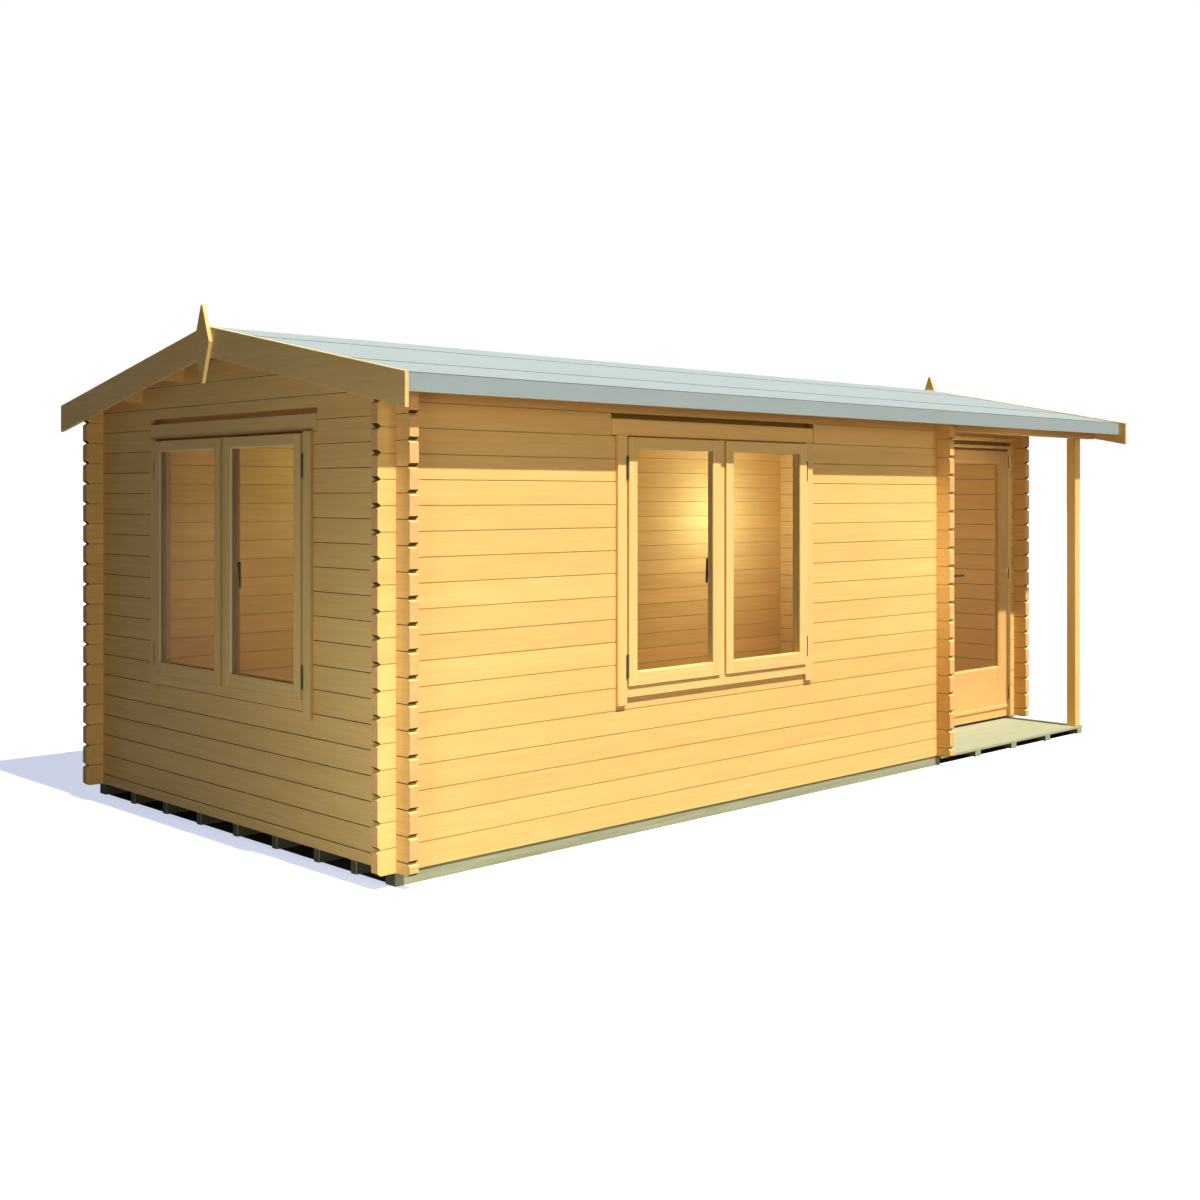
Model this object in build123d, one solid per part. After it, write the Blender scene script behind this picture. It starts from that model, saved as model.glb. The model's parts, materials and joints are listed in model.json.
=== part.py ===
from build123d import *
import math
import os

# Log cabin with a recessed corner porch, in millimetres.
#
# +X runs along the ridge, from the window gable to the porch end, and +Y runs
# from the front (windows and porch) to the back.  The origin lies on the
# ground under the middle of the plan.  Walls are stacks of machined logs that
# are notched a quarter of their height above and below wherever two walls
# cross, so the gable logs sit half a course out of step with the long walls.

# ---------------------------------------------------------------- logs
log_pitch = 114.0           # height that one log adds to the wall
log_thickness = 48.0
course_count = 19           # whole logs in the front and back walls
corner_overlap = 98.0       # log ends that run on past a crossing wall
end_chamfer_along = 19.0    # long bevel on the tips of the logs
end_chamfer_up = 13.0
seat_gap = 0.3              # clearance between two pieces that rest together
notch_gap = 0.3             # clearance each side of a crossing log
eaves_rise = 11.0           # top logs stand this much above the last course line

# ---------------------------------------------------------------- plan
main_room_length = 4230.0   # window gable to the outer face of the porch side wall
cabin_depth = 2850.0        # outer face to outer face of the long walls
porch_depth = 570.0         # how far the door wall is set back
door_stub = 52.0            # log wall that shows each side of the doors

# ---------------------------------------------------------------- underside
bearer_height = 60.0
outer_bearer_width = 70.0
inner_bearer_width = 46.0
rear_bearer_count = 5       # between the door wall's bearer and the back one
front_bearer_inset = 8.0    # bearer behind the face of the front wall
back_bearer_inset = 10.0
door_bearer_reach = 26.0    # bearer past the inner face of the door wall
floor_thickness = 19.0
floor_gap = 4.0             # expansion gap round the floor
deck_board_thickness = 19.0
deck_board_count = 5
deck_board_gap = 4.0
deck_drop = 5.0             # deck top below the bottom of the walls
deck_end_gap = 33.0         # deck stops this far short of the far gable's inside
joist_width = 64.0
joist_count = 4
joist_spacing = 448.0
joist_inset = 12.0          # last joist to the end of the deck

# ---------------------------------------------------------------- roof
roof_pitch = 11.1           # degrees
roof_board_thickness = 19.0
eaves_overhang = 182.0      # wall face to the outside of the felt
gable_overhang = 124.0      # wall face to the outside of the barge boards
felt_thickness = 3.0
felt_step = 2.0             # each strip of felt laps over the one below it
felt_laps = (365.0, 1163.0)  # lap lines, measured level from the ridge
fascia_height = 80.0
fascia_thickness = 18.0
barge_thickness = 20.0
barge_height = 152.0        # measured upright
barge_rise = 3.0            # barge board above the highest felt
barge_tail = 50.0           # barge board past the felt at the eaves
purlin_width = 48.0
purlin_height = 130.0
purlin_spacing = 465.0
finial_height = 392.0
finial_width = 150.0
finial_tip_width = 14.0
finial_drop = 137.0         # lowest tip below the barge board's top at the ridge
finial_upper = 0.48         # share of the height above the widest point
finial_thickness = 20.0

# ---------------------------------------------------------------- post
post_size = 70.0
post_inset = 115.0          # post's outer side to the outside of the far gable

# ---------------------------------------------------------------- windows
front_window_centre = 2118.0    # from the window gable's outer face
gable_window_centre = 1425.0    # from the front wall's outer face
casement_width = 690.0
casement_bottom = 688.0         # above the bottom of the walls
casement_top = 1932.0
casement_thickness = 40.0
casement_stile = 62.0
casement_top_rail = 57.0
casement_bottom_rail = 71.0
mullion_width = 44.0
window_trim_width = 68.0
window_trim_thickness = 18.0
window_head_height = 82.0
window_head_extra = 28.0        # head board past the side trim, each end
window_sill_drop = 57.0         # foot of the sill board below the casements
window_sill_cover = 14.0        # sill board over the edge of the cut log
window_head_gap = 10.0          # open joint over the casements
window_head_thickness = 18.0    # head board, let into the logs and flush with them
window_head_end_gap = 3.0       # head board to the logs at its ends
window_horn = 37.0              # side trim below the sill board
window_cover = 40.0             # trim over the edge of the cut logs
settling_gap = 20.0             # least gap from the head board to the log above
jamb_gap = 6.0                  # frame to the ends of the cut logs
rebate_lap = 20.0               # frame behind the edge of a closed casement
casement_gap = 3.0              # casement to frame, trim and mullion
casement_proud = 11.0           # casement in front of the trim
inner_trim_thickness = 16.0
inner_trim_reveal = 6.0         # frame edge left showing inside
inner_trim_cover = 12.0         # inner trim over the log above the window
glass_thickness = 4.0
glass_bite = 8.0                # glass in its groove
glass_gap = 0.3
casement_glazing = (6.0, 5.0)   # glass behind the face, and the bevel round it
window_hinge_radius = 7.0
barrel_sides = 12               # flats round a hinge barrel
window_hinge_height = 118.0
window_hinge_levels = (790.0, 1780.0)   # hinge centres above the bottom of the walls
window_handle_level = 1280.0    # handle's pivot above the bottom of the walls
window_handle_length = 125.0
window_handle_width = 14.0
window_handle_standoff = 26.0
window_rose_width = 18.0
window_rose_height = 65.0
window_rose_thickness = 6.0
window_handle_offset = 10.0     # pivot off the middle of the stile

# ---------------------------------------------------------------- doors
leaf_width = 811.0
leaf_bottom = 14.0              # above the bottom of the walls
leaf_top = 1970.0
leaf_thickness = 40.0
leaf_meeting_stile = 100.0
leaf_hinge_stile = 130.0
leaf_top_rail = 92.0
leaf_glazing = (16.0, 10.0)     # glass behind the face, and the bevel round it
kick_panel_top = 388.0          # bottom of the glass
weather_bar_low = 78.0          # above the bottom of the walls
weather_bar_height = 26.0
weather_bar_depth = 9.0
weather_bar_slope = 4.0
weather_bar_inset = 14.0        # bar short of the leaf's ends
leaf_gap = 5.0                  # leaf to frame and leaf to leaf
door_stop = 15.0                # frame behind the edge of a closed leaf
door_frame_width = 41.0
door_frame_back = 60.0          # frame depth behind the front of the wall
door_frame_proud = 14.0
leaf_proud = 20.0               # leaf's front before the wall's front
door_head_gap = 17.0            # open joint over the leaves
door_head_height = 22.0
door_side_gap = 17.0            # frame to the ends of the cut logs
threshold_height = 8.0
threshold_proud = 4.0
head_batten_height = 28.0
head_batten_end = 6.0
head_batten_thickness = 22.0
door_trim_thickness = 16.0      # boards inside, over the gap between frame and logs
door_trim_cover = 20.0          # those boards over the edge of the cut logs
door_hinge_levels = (180.0, 1070.0, 1895.0)
door_knuckle_radius = 7.0
door_knuckle_height = 44.0
door_pin_radius = 4.0
door_pin_clearance = 0.06
door_pin_length = 80.0
pin_sides = 16                  # flats round a pin and its bore
door_knuckle_clear = 1.0        # knuckle in front of the leaf
knuckle_play = 0.5              # between the two halves of a hinge
door_hinge_plate = 2.5
door_hinge_web = 4.0
door_hinge_reach = 34.0
door_handle_level = 1077.0      # above the bottom of the walls
door_lever_length = 122.0
door_lever_height = 18.0
door_lever_depth = 14.0
door_lever_standoff = 52.0
lever_neck = 16.0
lever_plate_width = 36.0
lever_plate_height = 150.0
lever_plate_thickness = 5.0
lever_plate_above = 40.0        # plate above the lever's pivot
lever_inset = 31.0              # pivot to the leaf's meeting edge

# ---------------------------------------------------------------- places
past = 500.0                    # cutting blocks run this far past what they cut
frame_half = leaf_width + leaf_gap * 1.5 + door_frame_width
door_hole_half = frame_half + door_side_gap
cabin_length = main_room_length + 2 * (door_hole_half + door_stub) + log_thickness
x_left, x_right = -cabin_length / 2, cabin_length / 2
y_front, y_back = -cabin_depth / 2, cabin_depth / 2
x_side = x_left + main_room_length      # porch side wall's outer face
y_door = y_front + porch_depth          # door wall's outer face
wall_base = bearer_height + seat_gap
rise = math.tan(math.radians(roof_pitch))
board_upright = roof_board_thickness / math.cos(math.radians(roof_pitch))
felt_upright = felt_thickness / math.cos(math.radians(roof_pitch))
z_eaves = wall_base + course_count * log_pitch + eaves_rise
z_ridge = z_eaves + rise * cabin_depth / 2      # underside of the boards
eaves_reach = cabin_depth / 2 + eaves_overhang  # ridge to the felt's outer face
top_level = 2 * course_count - 2                # half courses, last log of a long wall


def roof_under(distance):
    """Height of the roof boards' underside at a distance from the ridge."""
    return z_ridge - rise * distance


def block(x0, x1, y0, y1, z0, z1):
    """A square-edged solid between two corners."""
    return Pos((x0 + x1) / 2, (y0 + y1) / 2, (z0 + z1) / 2) * Box(x1 - x0, y1 - y0, z1 - z0)


def slab_along_x(points, x0, x1):
    """A closed (y, z) outline carried from x0 to x1."""
    face = Plane.YZ.offset(x0) * Polygon(*points, align=None)
    return extrude(face, amount=x1 - x0, dir=(1, 0, 0))


def slab_along_y(points, y0, y1):
    """A closed (x, z) outline carried from y0 to y1."""
    face = Plane.XZ.offset(-y0) * Polygon(*points, align=None)
    return extrude(face, amount=y1 - y0, dir=(0, 1, 0))


def mirrored(side, near, far):
    """The span from near to far, on one side of zero, in rising order."""
    return sorted((side * near, side * far))


def barrel(radius, height, sides=barrel_sides):
    """A round bar with flats that touch its radius, standing on its origin."""
    section = RegularPolygon(radius, sides, major_radius=False, rotation=180 / sides)
    return extrude(section, height)


def save(name, solids):
    """Write one node, made of solids that don't touch."""
    kept = [solid for shape in solids for solid in shape.solids()]
    export_step(Compound(label=name, children=kept), f"parts/{name}.step")
    return kept


# ---------------------------------------------------------------- log walls
class Crossing:
    """A wall that crosses the one being built: where, and which logs it has.

    A level counts half courses.  Long walls hold even levels and gables odd
    ones, so the neighbours of a log at a crossing are one level away."""

    def __init__(self, low, lowest, highest):
        self.low, self.high = low, low + log_thickness
        self.lowest, self.highest = lowest, highest

    def has(self, level):
        return self.lowest <= level <= self.highest


def level_bottom(level):
    return wall_base + max(level, 0) * log_pitch / 2


def log_profile(level, start, end, crossings, tips=(True, True)):
    """Side outline of one log, with its notches and bevelled tips."""
    bottom = level_bottom(level)
    top = wall_base + (level + 2) * log_pitch / 2 - seat_gap
    lower_seat = wall_base + level * log_pitch / 2 + log_pitch / 4
    upper_seat = lower_seat + log_pitch / 2 - seat_gap
    along = [end_chamfer_along if tip else 0 for tip in tips]
    up = [end_chamfer_up if tip else 0 for tip in tips]
    here = [c for c in crossings if start < c.low and c.high < end]
    below = [(start, bottom + up[0]), (start + along[0], bottom)]
    above = [(start, top - up[0]), (start + along[0], top)]
    for c in sorted(here, key=lambda crossing: crossing.low):
        low, high = c.low - notch_gap, c.high + notch_gap
        if c.has(level - 1):
            below += [(low, bottom), (low, lower_seat), (high, lower_seat), (high, bottom)]
        if c.has(level + 1):
            above += [(low, top), (low, upper_seat), (high, upper_seat), (high, top)]
    below += [(end - along[1], bottom), (end, bottom + up[1])]
    above += [(end - along[1], top), (end, top - up[1])]
    outline = []
    for point in below + above[::-1]:
        if point not in outline:
            outline.append(point)
    return outline


def under_roof():
    """Everything below the roof boards, with the seat's clearance."""
    reach = eaves_reach + past
    outline = [
        (-reach, 0), (reach, 0), (reach, roof_under(reach) - seat_gap),
        (0, z_ridge - seat_gap), (-reach, roof_under(reach) - seat_gap),
    ]
    return slab_along_x(outline, x_left - past, x_right + past)


def purlin_outline(centre, spread=0.0):
    """Cross-section of the purlin at a centre line, its top cut to the roof."""
    low, high = centre - purlin_width / 2 - spread, centre + purlin_width / 2 + spread
    top = [(high, roof_under(abs(high)) - seat_gap), (low, roof_under(abs(low)) - seat_gap)]
    if low < 0 < high:
        top.insert(1, (0, z_ridge - seat_gap))
    inner = min(abs(low), abs(high)) if centre else 0
    bottom = roof_under(inner) - purlin_height
    return [(low, bottom - spread), (high, bottom - spread)] + top


purlin_lines = [count * purlin_spacing for count in (-2, -1, 0, 1, 2)]
roof_limit = under_roof()
purlin_pockets = [
    slab_along_x(purlin_outline(line, notch_gap), x_left - past, x_right + past)
    for line in purlin_lines
]


def finish(log, level, openings=()):
    """Trim a log to the roof, the purlins and the window openings it meets."""
    top = wall_base + (level + 2) * log_pitch / 2
    if top > z_eaves - eaves_rise - log_pitch / 2:
        log = log & roof_limit
        if level > top_level and level % 2:
            log = log - purlin_pockets
    box = log.bounding_box()
    for opening in openings:
        hole = opening.bounding_box()
        if box.max.Z > hole.min.Z and box.min.Z < hole.max.Z:
            log = log - opening
    return log.solids()


def long_wall(y, levels, start, end, crossings, openings=(), tips=(True, True)):
    """Logs that run along X, with their outer face at y."""
    logs = []
    for level in levels:
        outline = log_profile(level, start, end, crossings, tips)
        logs += finish(slab_along_y(outline, y, y + log_thickness), level, openings)
    return logs


def cross_wall(x, levels, start, end, crossings, openings=(), tips=(True, True)):
    """Logs that run along Y, with their left face at x."""
    logs = []
    for level in levels:
        outline = log_profile(level, start, end, crossings, tips)
        logs += finish(slab_along_x(outline, x, x + log_thickness), level, openings)
    return logs


full_levels = range(0, top_level + 1, 2)
gable_levels = range(-1, top_level, 2)
door_top_level = top_level + 2      # the door wall is one log higher, under the slope
left_gable = Crossing(x_left, -1, top_level + 1)
right_gable_rear = Crossing(x_right - log_thickness, -1, top_level + 3)
right_gable_front = Crossing(x_right - log_thickness, top_level + 1, top_level + 1)
side_wall = Crossing(x_side - log_thickness, -1, top_level + 3)
front_wall = Crossing(y_front, 0, top_level)
front_beam_only = Crossing(y_front, top_level, top_level)
back_wall = Crossing(y_back - log_thickness, 0, top_level)
door_wall = Crossing(y_door, 0, door_top_level)

# ---------------------------------------------------------------- window opening
window_half = casement_width + mullion_width / 2            # to the casement's outer edge
opening_half = window_half + window_trim_width - window_cover
trim_half = window_half + window_trim_width
sill_low = casement_bottom - window_sill_drop               # above the bottom of the walls
head_low = casement_top + window_head_gap
head_high = head_low + window_head_height
head_half = trim_half + window_head_extra
head_hole_half = head_half + window_head_end_gap
opening_low = sill_low + window_sill_cover
opening_high = math.ceil((head_high + settling_gap) / log_pitch) * log_pitch
head_seat = math.floor(head_low / log_pitch) * log_pitch    # the logs' recess for the head board


def at_front(shape):
    """Place a window, drawn round its own centre, in the front wall."""
    return Pos(x_left + front_window_centre, y_front, wall_base) * shape


def at_gable(shape):
    """Place a window in the left gable, facing -X."""
    return Pos(x_left, y_front + gable_window_centre, wall_base) * Rot(0, 0, -90) * shape


def window_hole():
    """The hole in a wall: as wide as the head board from the course line below that board."""
    hole = block(-opening_half, opening_half, -past, past, opening_low, opening_high)
    return hole + block(-head_hole_half, head_hole_half, -past, past, head_seat - seat_gap / 2,
                        opening_high)


front_hole, gable_hole = at_front(window_hole()), at_gable(window_hole())

# ---------------------------------------------------------------- door opening
door_centre = (x_side + x_right - log_thickness) / 2
door_left, door_right = door_centre - door_hole_half, door_centre + door_hole_half


def make_walls():
    """Every log of the cabin, wall by wall."""
    west, east = x_left - corner_overlap, x_right + corner_overlap
    south, north = y_front - corner_overlap, y_back + corner_overlap
    main_front = [level for level in full_levels if level < top_level]
    save("front_wall", long_wall(y_front, main_front, west, x_side + corner_overlap,
                                 [left_gable, side_wall], [front_hole]))
    save("front_eaves_beam", long_wall(y_front, [top_level], west, east,
                                       [left_gable, side_wall, right_gable_front],
                                       [front_hole]))
    save("back_wall", long_wall(y_back - log_thickness, full_levels, west, east,
                                [left_gable, right_gable_rear]))
    gable_crossings = [front_wall, back_wall]
    save("left_gable_wall",
         cross_wall(x_left, gable_levels, south, north, gable_crossings, [gable_hole])
         + gable_top(x_left, gable_crossings))
    rear_crossings = [door_wall, back_wall]
    save("right_gable_wall",
         cross_wall(x_right - log_thickness, gable_levels, y_door - corner_overlap, north,
                    rear_crossings)
         + gable_top(x_right - log_thickness, [front_beam_only] + rear_crossings))
    inner_end = y_door + log_thickness + corner_overlap
    side_levels = range(-1, top_level + 4, 2)
    save("porch_side_wall",
         cross_wall(x_side - log_thickness, side_levels, south, inner_end,
                    [front_wall, door_wall]))
    stub_levels = [level for level in full_levels if level < top_level]
    inner_start = x_side - log_thickness - corner_overlap
    save("door_wall_left", long_wall(y_door, stub_levels, inner_start, door_left,
                                     [side_wall], tips=(True, False)))
    save("door_wall_right", long_wall(y_door, stub_levels, door_right, east,
                                      [right_gable_rear], tips=(False, True)))
    save("door_wall_over", long_wall(y_door, [top_level, door_top_level], inner_start, east,
                                     [side_wall, right_gable_rear]))


def gable_top(x, crossings):
    """The logs of a gable above the eaves, shorter course by course."""
    logs = []
    for level in range(top_level + 1, top_level + 6, 2):
        outline = log_profile(level, y_front - corner_overlap, y_back + corner_overlap, crossings)
        logs += finish(slab_along_x(outline, x, x + log_thickness), level)
    return logs


# ---------------------------------------------------------------- underside and porch
def make_underside():
    """Bearers on the ground, the room's floor, and the porch deck."""
    def bearer(y, width, end):
        return block(x_left, end, y, y + width, 0, bearer_height)

    front_y = y_front + front_bearer_inset
    back_y = y_back - back_bearer_inset - outer_bearer_width
    save("outer_bearers", [bearer(front_y, outer_bearer_width, x_side),
                           bearer(back_y, outer_bearer_width, x_right)])
    door_bearer = y_door + log_thickness + door_bearer_reach - inner_bearer_width
    last = back_y + (outer_bearer_width - inner_bearer_width) / 2
    pitch = (last - door_bearer) / (rear_bearer_count + 1)
    inner = [bearer(door_bearer + pitch * n, inner_bearer_width, x_right)
             for n in range(rear_bearer_count + 1)]
    inner.append(bearer((y_front + door_bearer) / 2, inner_bearer_width, x_side))
    save("inner_bearers", inner)

    z0 = wall_base
    room = [x_left + log_thickness + floor_gap, y_front + log_thickness + floor_gap,
            y_back - log_thickness - floor_gap]
    split = x_side - log_thickness - floor_gap
    main = block(room[0], split, room[1], room[2], z0, z0 + floor_thickness)
    main -= block(split - corner_overlap, split + 1, y_door - floor_gap,
                  y_door + log_thickness + floor_gap, 0, past)
    rear = block(split + seat_gap, x_right - log_thickness - floor_gap,
                 y_door + log_thickness + floor_gap, room[2], z0, z0 + floor_thickness)
    rear -= block(split, x_side + floor_gap, y_door,
                  y_door + log_thickness + corner_overlap + floor_gap, 0, past)
    rear -= block(door_centre - frame_half - floor_gap, door_centre + frame_half + floor_gap,
                  y_door, y_door + door_frame_back + floor_gap, 0, past)
    save("floor", [main, rear])

    deck_top = wall_base - deck_drop
    deck_low = deck_top - deck_board_thickness
    deck_x = (x_side + floor_gap, x_right - log_thickness - deck_end_gap)
    width = (porch_depth - deck_board_gap * deck_board_count) / deck_board_count
    boards = []
    for n in range(deck_board_count):
        y = y_front + n * (width + deck_board_gap)
        boards.append(block(*deck_x, y, y + width, deck_low, deck_top))
    save("porch_deck", boards)
    joists = []
    for n in range(joist_count):
        x = deck_x[1] - joist_width - joist_inset - n * joist_spacing
        joists.append(block(x, x + joist_width, y_front, door_bearer - seat_gap,
                            0, deck_low - seat_gap))
    save("porch_joists", joists)
    post_x = x_right - post_inset - post_size
    post_top = level_bottom(top_level)
    save("porch_post", [block(post_x, post_x + post_size, y_front, y_front + post_size,
                              deck_top, post_top - seat_gap)])


# ---------------------------------------------------------------- roof
def make_roof():
    """Purlins, boards, felt, eaves boards, barge boards and finials."""
    inside = gable_overhang - barge_thickness - seat_gap
    ends = (x_left - inside, x_right + inside)
    save("purlins", [slab_along_x(purlin_outline(line), *ends) for line in purlin_lines])

    boards_reach = eaves_reach - felt_thickness - fascia_thickness - 2 * seat_gap
    for name, side in (("front", -1), ("back", 1)):
        low = roof_under(boards_reach)
        boards = [(side * seat_gap, roof_under(seat_gap)), (side * boards_reach, low),
                  (side * boards_reach, low + board_upright),
                  (side * seat_gap, roof_under(seat_gap) + board_upright)]
        save(f"roof_boards_{name}", [slab_along_x(boards, *ends)])
        save(f"roof_felt_{name}", [slab_along_x(outline, *ends) for outline in felt_sheets(side)])

    fascia_out = eaves_reach - felt_thickness - seat_gap
    fascia_top = roof_under(fascia_out) + board_upright
    outline = [(fascia_out - fascia_thickness, fascia_top - fascia_height),
               (fascia_out, fascia_top - fascia_height), (fascia_out, fascia_top),
               (fascia_out - fascia_thickness, fascia_top + rise * fascia_thickness)]
    save("eaves_boards", [slab_along_x([(side * y, z) for y, z in outline], *ends)
                          for side in (-1, 1)])
    make_barges()


def felt_sheets(side):
    """Outlines of the felt on one slope: three lapped sheets and the fold at the eaves."""
    base = board_upright + seat_gap
    edges = [seat_gap] + list(felt_laps) + [eaves_reach]
    sheets = []
    for n in range(len(edges) - 1):
        near, far = edges[n], edges[n + 1] - (seat_gap if edges[n + 1] < eaves_reach else 0)
        top = base + felt_upright + felt_step * (len(felt_laps) - n)
        sheets.append([(near, roof_under(near) + base), (far, roof_under(far) + base),
                       (far, roof_under(far) + top), (near, roof_under(near) + top)])
    fold_in, fold_foot = eaves_reach - felt_thickness, roof_under(eaves_reach) + base - fascia_height
    sheets.append([(fold_in, fold_foot), (eaves_reach, fold_foot),
                   (eaves_reach, roof_under(eaves_reach) + base - seat_gap),
                   (fold_in, roof_under(fold_in) + base - seat_gap)])
    return [[(side * y, z) for y, z in outline] for outline in sheets]


def barge_top(distance):
    """Upper edge of the barge boards at a distance from the ridge."""
    felt = seat_gap + felt_upright + felt_step * len(felt_laps)
    return roof_under(distance) + board_upright + felt + barge_rise


def make_barges():
    """A pair of barge boards on each gable, with a diamond finial over the joint."""
    tail = eaves_reach + barge_tail
    tip = barge_top(0) - finial_drop - barge_height
    outline = []
    widest = tip + finial_height * (1 - finial_upper)
    for half, z in ((finial_tip_width / 2, tip), (finial_width / 2, widest),
                    (finial_tip_width / 2, tip + finial_height)):
        outline.append((half, z))
    diamond = outline + [(-half, z) for half, z in reversed(outline)]
    finials = []
    for name, face, out in (("left", x_left - gable_overhang, -1),
                            ("right", x_right + gable_overhang, 1)):
        near = face - out * barge_thickness
        boards = []
        for side in (-1, 1):
            top = barge_top(seat_gap)
            points = [(side * seat_gap, top - barge_height), (side * tail,
                      barge_top(tail) - barge_height), (side * tail, barge_top(tail)),
                      (side * seat_gap, top)]
            boards.append(slab_along_x(points, min(near, face), max(near, face)))
        save(f"{name}_barge_boards", boards)
        start = face + out * seat_gap
        stop = start + out * finial_thickness
        finials.append(slab_along_x(diamond, min(start, stop), max(start, stop)))
    save("finials", finials)


# ---------------------------------------------------------------- glazed frames
def glazed_frame(x0, x1, z0, z1, stiles, top_rail, bottom_rail, y0, thickness, glazing):
    """Two stiles and two rails, bevelled to the pane that their groove holds."""
    y1 = y0 + thickness
    left, right, low, high = x0 + stiles[0], x1 - stiles[1], z0 + bottom_rail, z1 - top_rail
    rails = (left + seat_gap, right - seat_gap)
    members = [block(x0, left, y0, y1, z0, z1), block(right, x1, y0, y1, z0, z1),
               block(*rails, y0, y1, z0, low), block(*rails, y0, y1, high, z1)]
    setback, bevel = glazing
    mouth = Rectangle(right - left + 2 * bevel, high - low + 2 * bevel)
    slope = Pos((left + right) / 2, y0, (low + high) / 2) * Rot(-90, 0, 0) * extrude(
        mouth, bevel, taper=45)

    def pane(spare):
        bite = glass_bite + spare
        return block(left - bite, right + bite, y0 + setback - spare,
                     y0 + setback + glass_thickness + spare, low - bite, high + bite)

    return [member - pane(glass_gap) - slope for member in members], pane(0)


# ---------------------------------------------------------------- windows
def window_frame(rebate):
    """Jambs, head, sill and mullion, rebated for the casements and the head board."""
    clear, outer = window_half - rebate_lap, opening_half - jamb_gap
    low, high = opening_low + seat_gap, head_high - seat_gap
    depth = (seat_gap, log_thickness)
    edge = window_half + casement_gap
    foot, top = casement_bottom - casement_gap, casement_top + casement_gap
    under_head = head_low - seat_gap
    hollow = block(-edge, edge, -past, rebate, foot, under_head)
    hollow += block(-head_hole_half, head_hole_half, -past, window_head_thickness + seat_gap,
                    under_head, head_high + past)
    between = (seat_gap - clear, clear - seat_gap)
    members = [block(*mirrored(side, clear, outer), *depth, low, high) for side in (-1, 1)]
    members.append(block(*between, *depth, low, casement_bottom + rebate_lap))
    members.append(block(*between, *depth, casement_top - rebate_lap, high))
    back, front = mullion_width / 2 + rebate_lap, mullion_width / 2 - casement_gap
    mullion = block(-back, back, rebate, log_thickness, casement_bottom + rebate_lap + seat_gap,
                    casement_top - rebate_lap - seat_gap)
    mullion += block(-front, front, -window_trim_thickness, rebate, foot + seat_gap,
                     top - seat_gap)
    return [member - hollow for member in members] + [mullion]


def window_trim(front):
    """Boards over the joint with the logs: outside with horns, inside plain."""
    depth = (front, -seat_gap)
    near = window_half + casement_gap
    boards = [block(*mirrored(side, near, trim_half), *depth, sill_low - window_horn,
                    head_low - seat_gap) for side in (-1, 1)]
    boards.append(block(seat_gap - near, near - seat_gap, *depth, sill_low,
                        casement_bottom - casement_gap))
    boards.append(block(-head_half, head_half, 0, window_head_thickness, head_low, head_high))
    inside = log_thickness + seat_gap
    depth = (inside, inside + inner_trim_thickness)
    edge = rebate_lap - inner_trim_reveal
    clear, top = window_half - edge, opening_high + inner_trim_cover
    wide = head_half + inner_trim_cover
    for side in (-1, 1):
        boards.append(block(*mirrored(side, clear, trim_half), *depth, sill_low,
                            casement_top - edge - seat_gap))
    between = (seat_gap - clear, clear - seat_gap)
    boards.append(block(*between, *depth, sill_low, casement_bottom + edge))
    boards.append(block(-wide, wide, *depth, casement_top - edge, top))
    return boards


def window_handle(x, face):
    """A handle on the inside face of a casement, turned down."""
    half, rose = window_handle_width / 2, window_rose_width / 2
    level, standing = window_handle_level, face + window_handle_standoff
    top = level + window_rose_height / 2
    plate = block(x - rose, x + rose, face, face + window_rose_thickness,
                  level - window_rose_height / 2, top)
    neck = block(x - half, x + half, face + window_rose_thickness, standing,
                 level - half, level + half)
    grip = block(x - half, x + half, standing - half, standing,
                 level + half - window_handle_length, level + half)
    return plate + neck + grip


def window_pieces():
    """A two-casement window round its own centre line; the wall's face is y = 0."""
    front = -seat_gap - window_trim_thickness
    y0 = front - casement_proud
    casements, panes, fittings = [], [], []
    for side in (-1, 1):
        members, pane = glazed_frame(*mirrored(side, mullion_width / 2, window_half),
                                     casement_bottom, casement_top,
                                     (casement_stile, casement_stile), casement_top_rail,
                                     casement_bottom_rail, y0, casement_thickness,
                                     casement_glazing)
        casements += members
        panes.append(pane)
        hinge = Pos(side * (window_half + window_hinge_radius + seat_gap),
                    front - seat_gap - window_hinge_radius, -window_hinge_height / 2)
        fittings += [Pos(0, 0, level) * hinge * barrel(window_hinge_radius, window_hinge_height)
                     for level in window_hinge_levels]
    handle_x = -mullion_width / 2 - casement_stile / 2 - window_handle_offset
    fittings.append(window_handle(handle_x, y0 + casement_thickness + seat_gap))
    return {"frame": window_frame(y0 + casement_thickness + seat_gap),
            "trim": window_trim(front), "casements": casements,
            "glass": panes, "fittings": fittings}


def make_windows():
    """The same window in the front wall and in the left gable."""
    for name, place in (("front_window", at_front), ("gable_window", at_gable)):
        for piece, solids in window_pieces().items():
            save(f"{name}_{piece}", [place(solid) for solid in solids])


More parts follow.
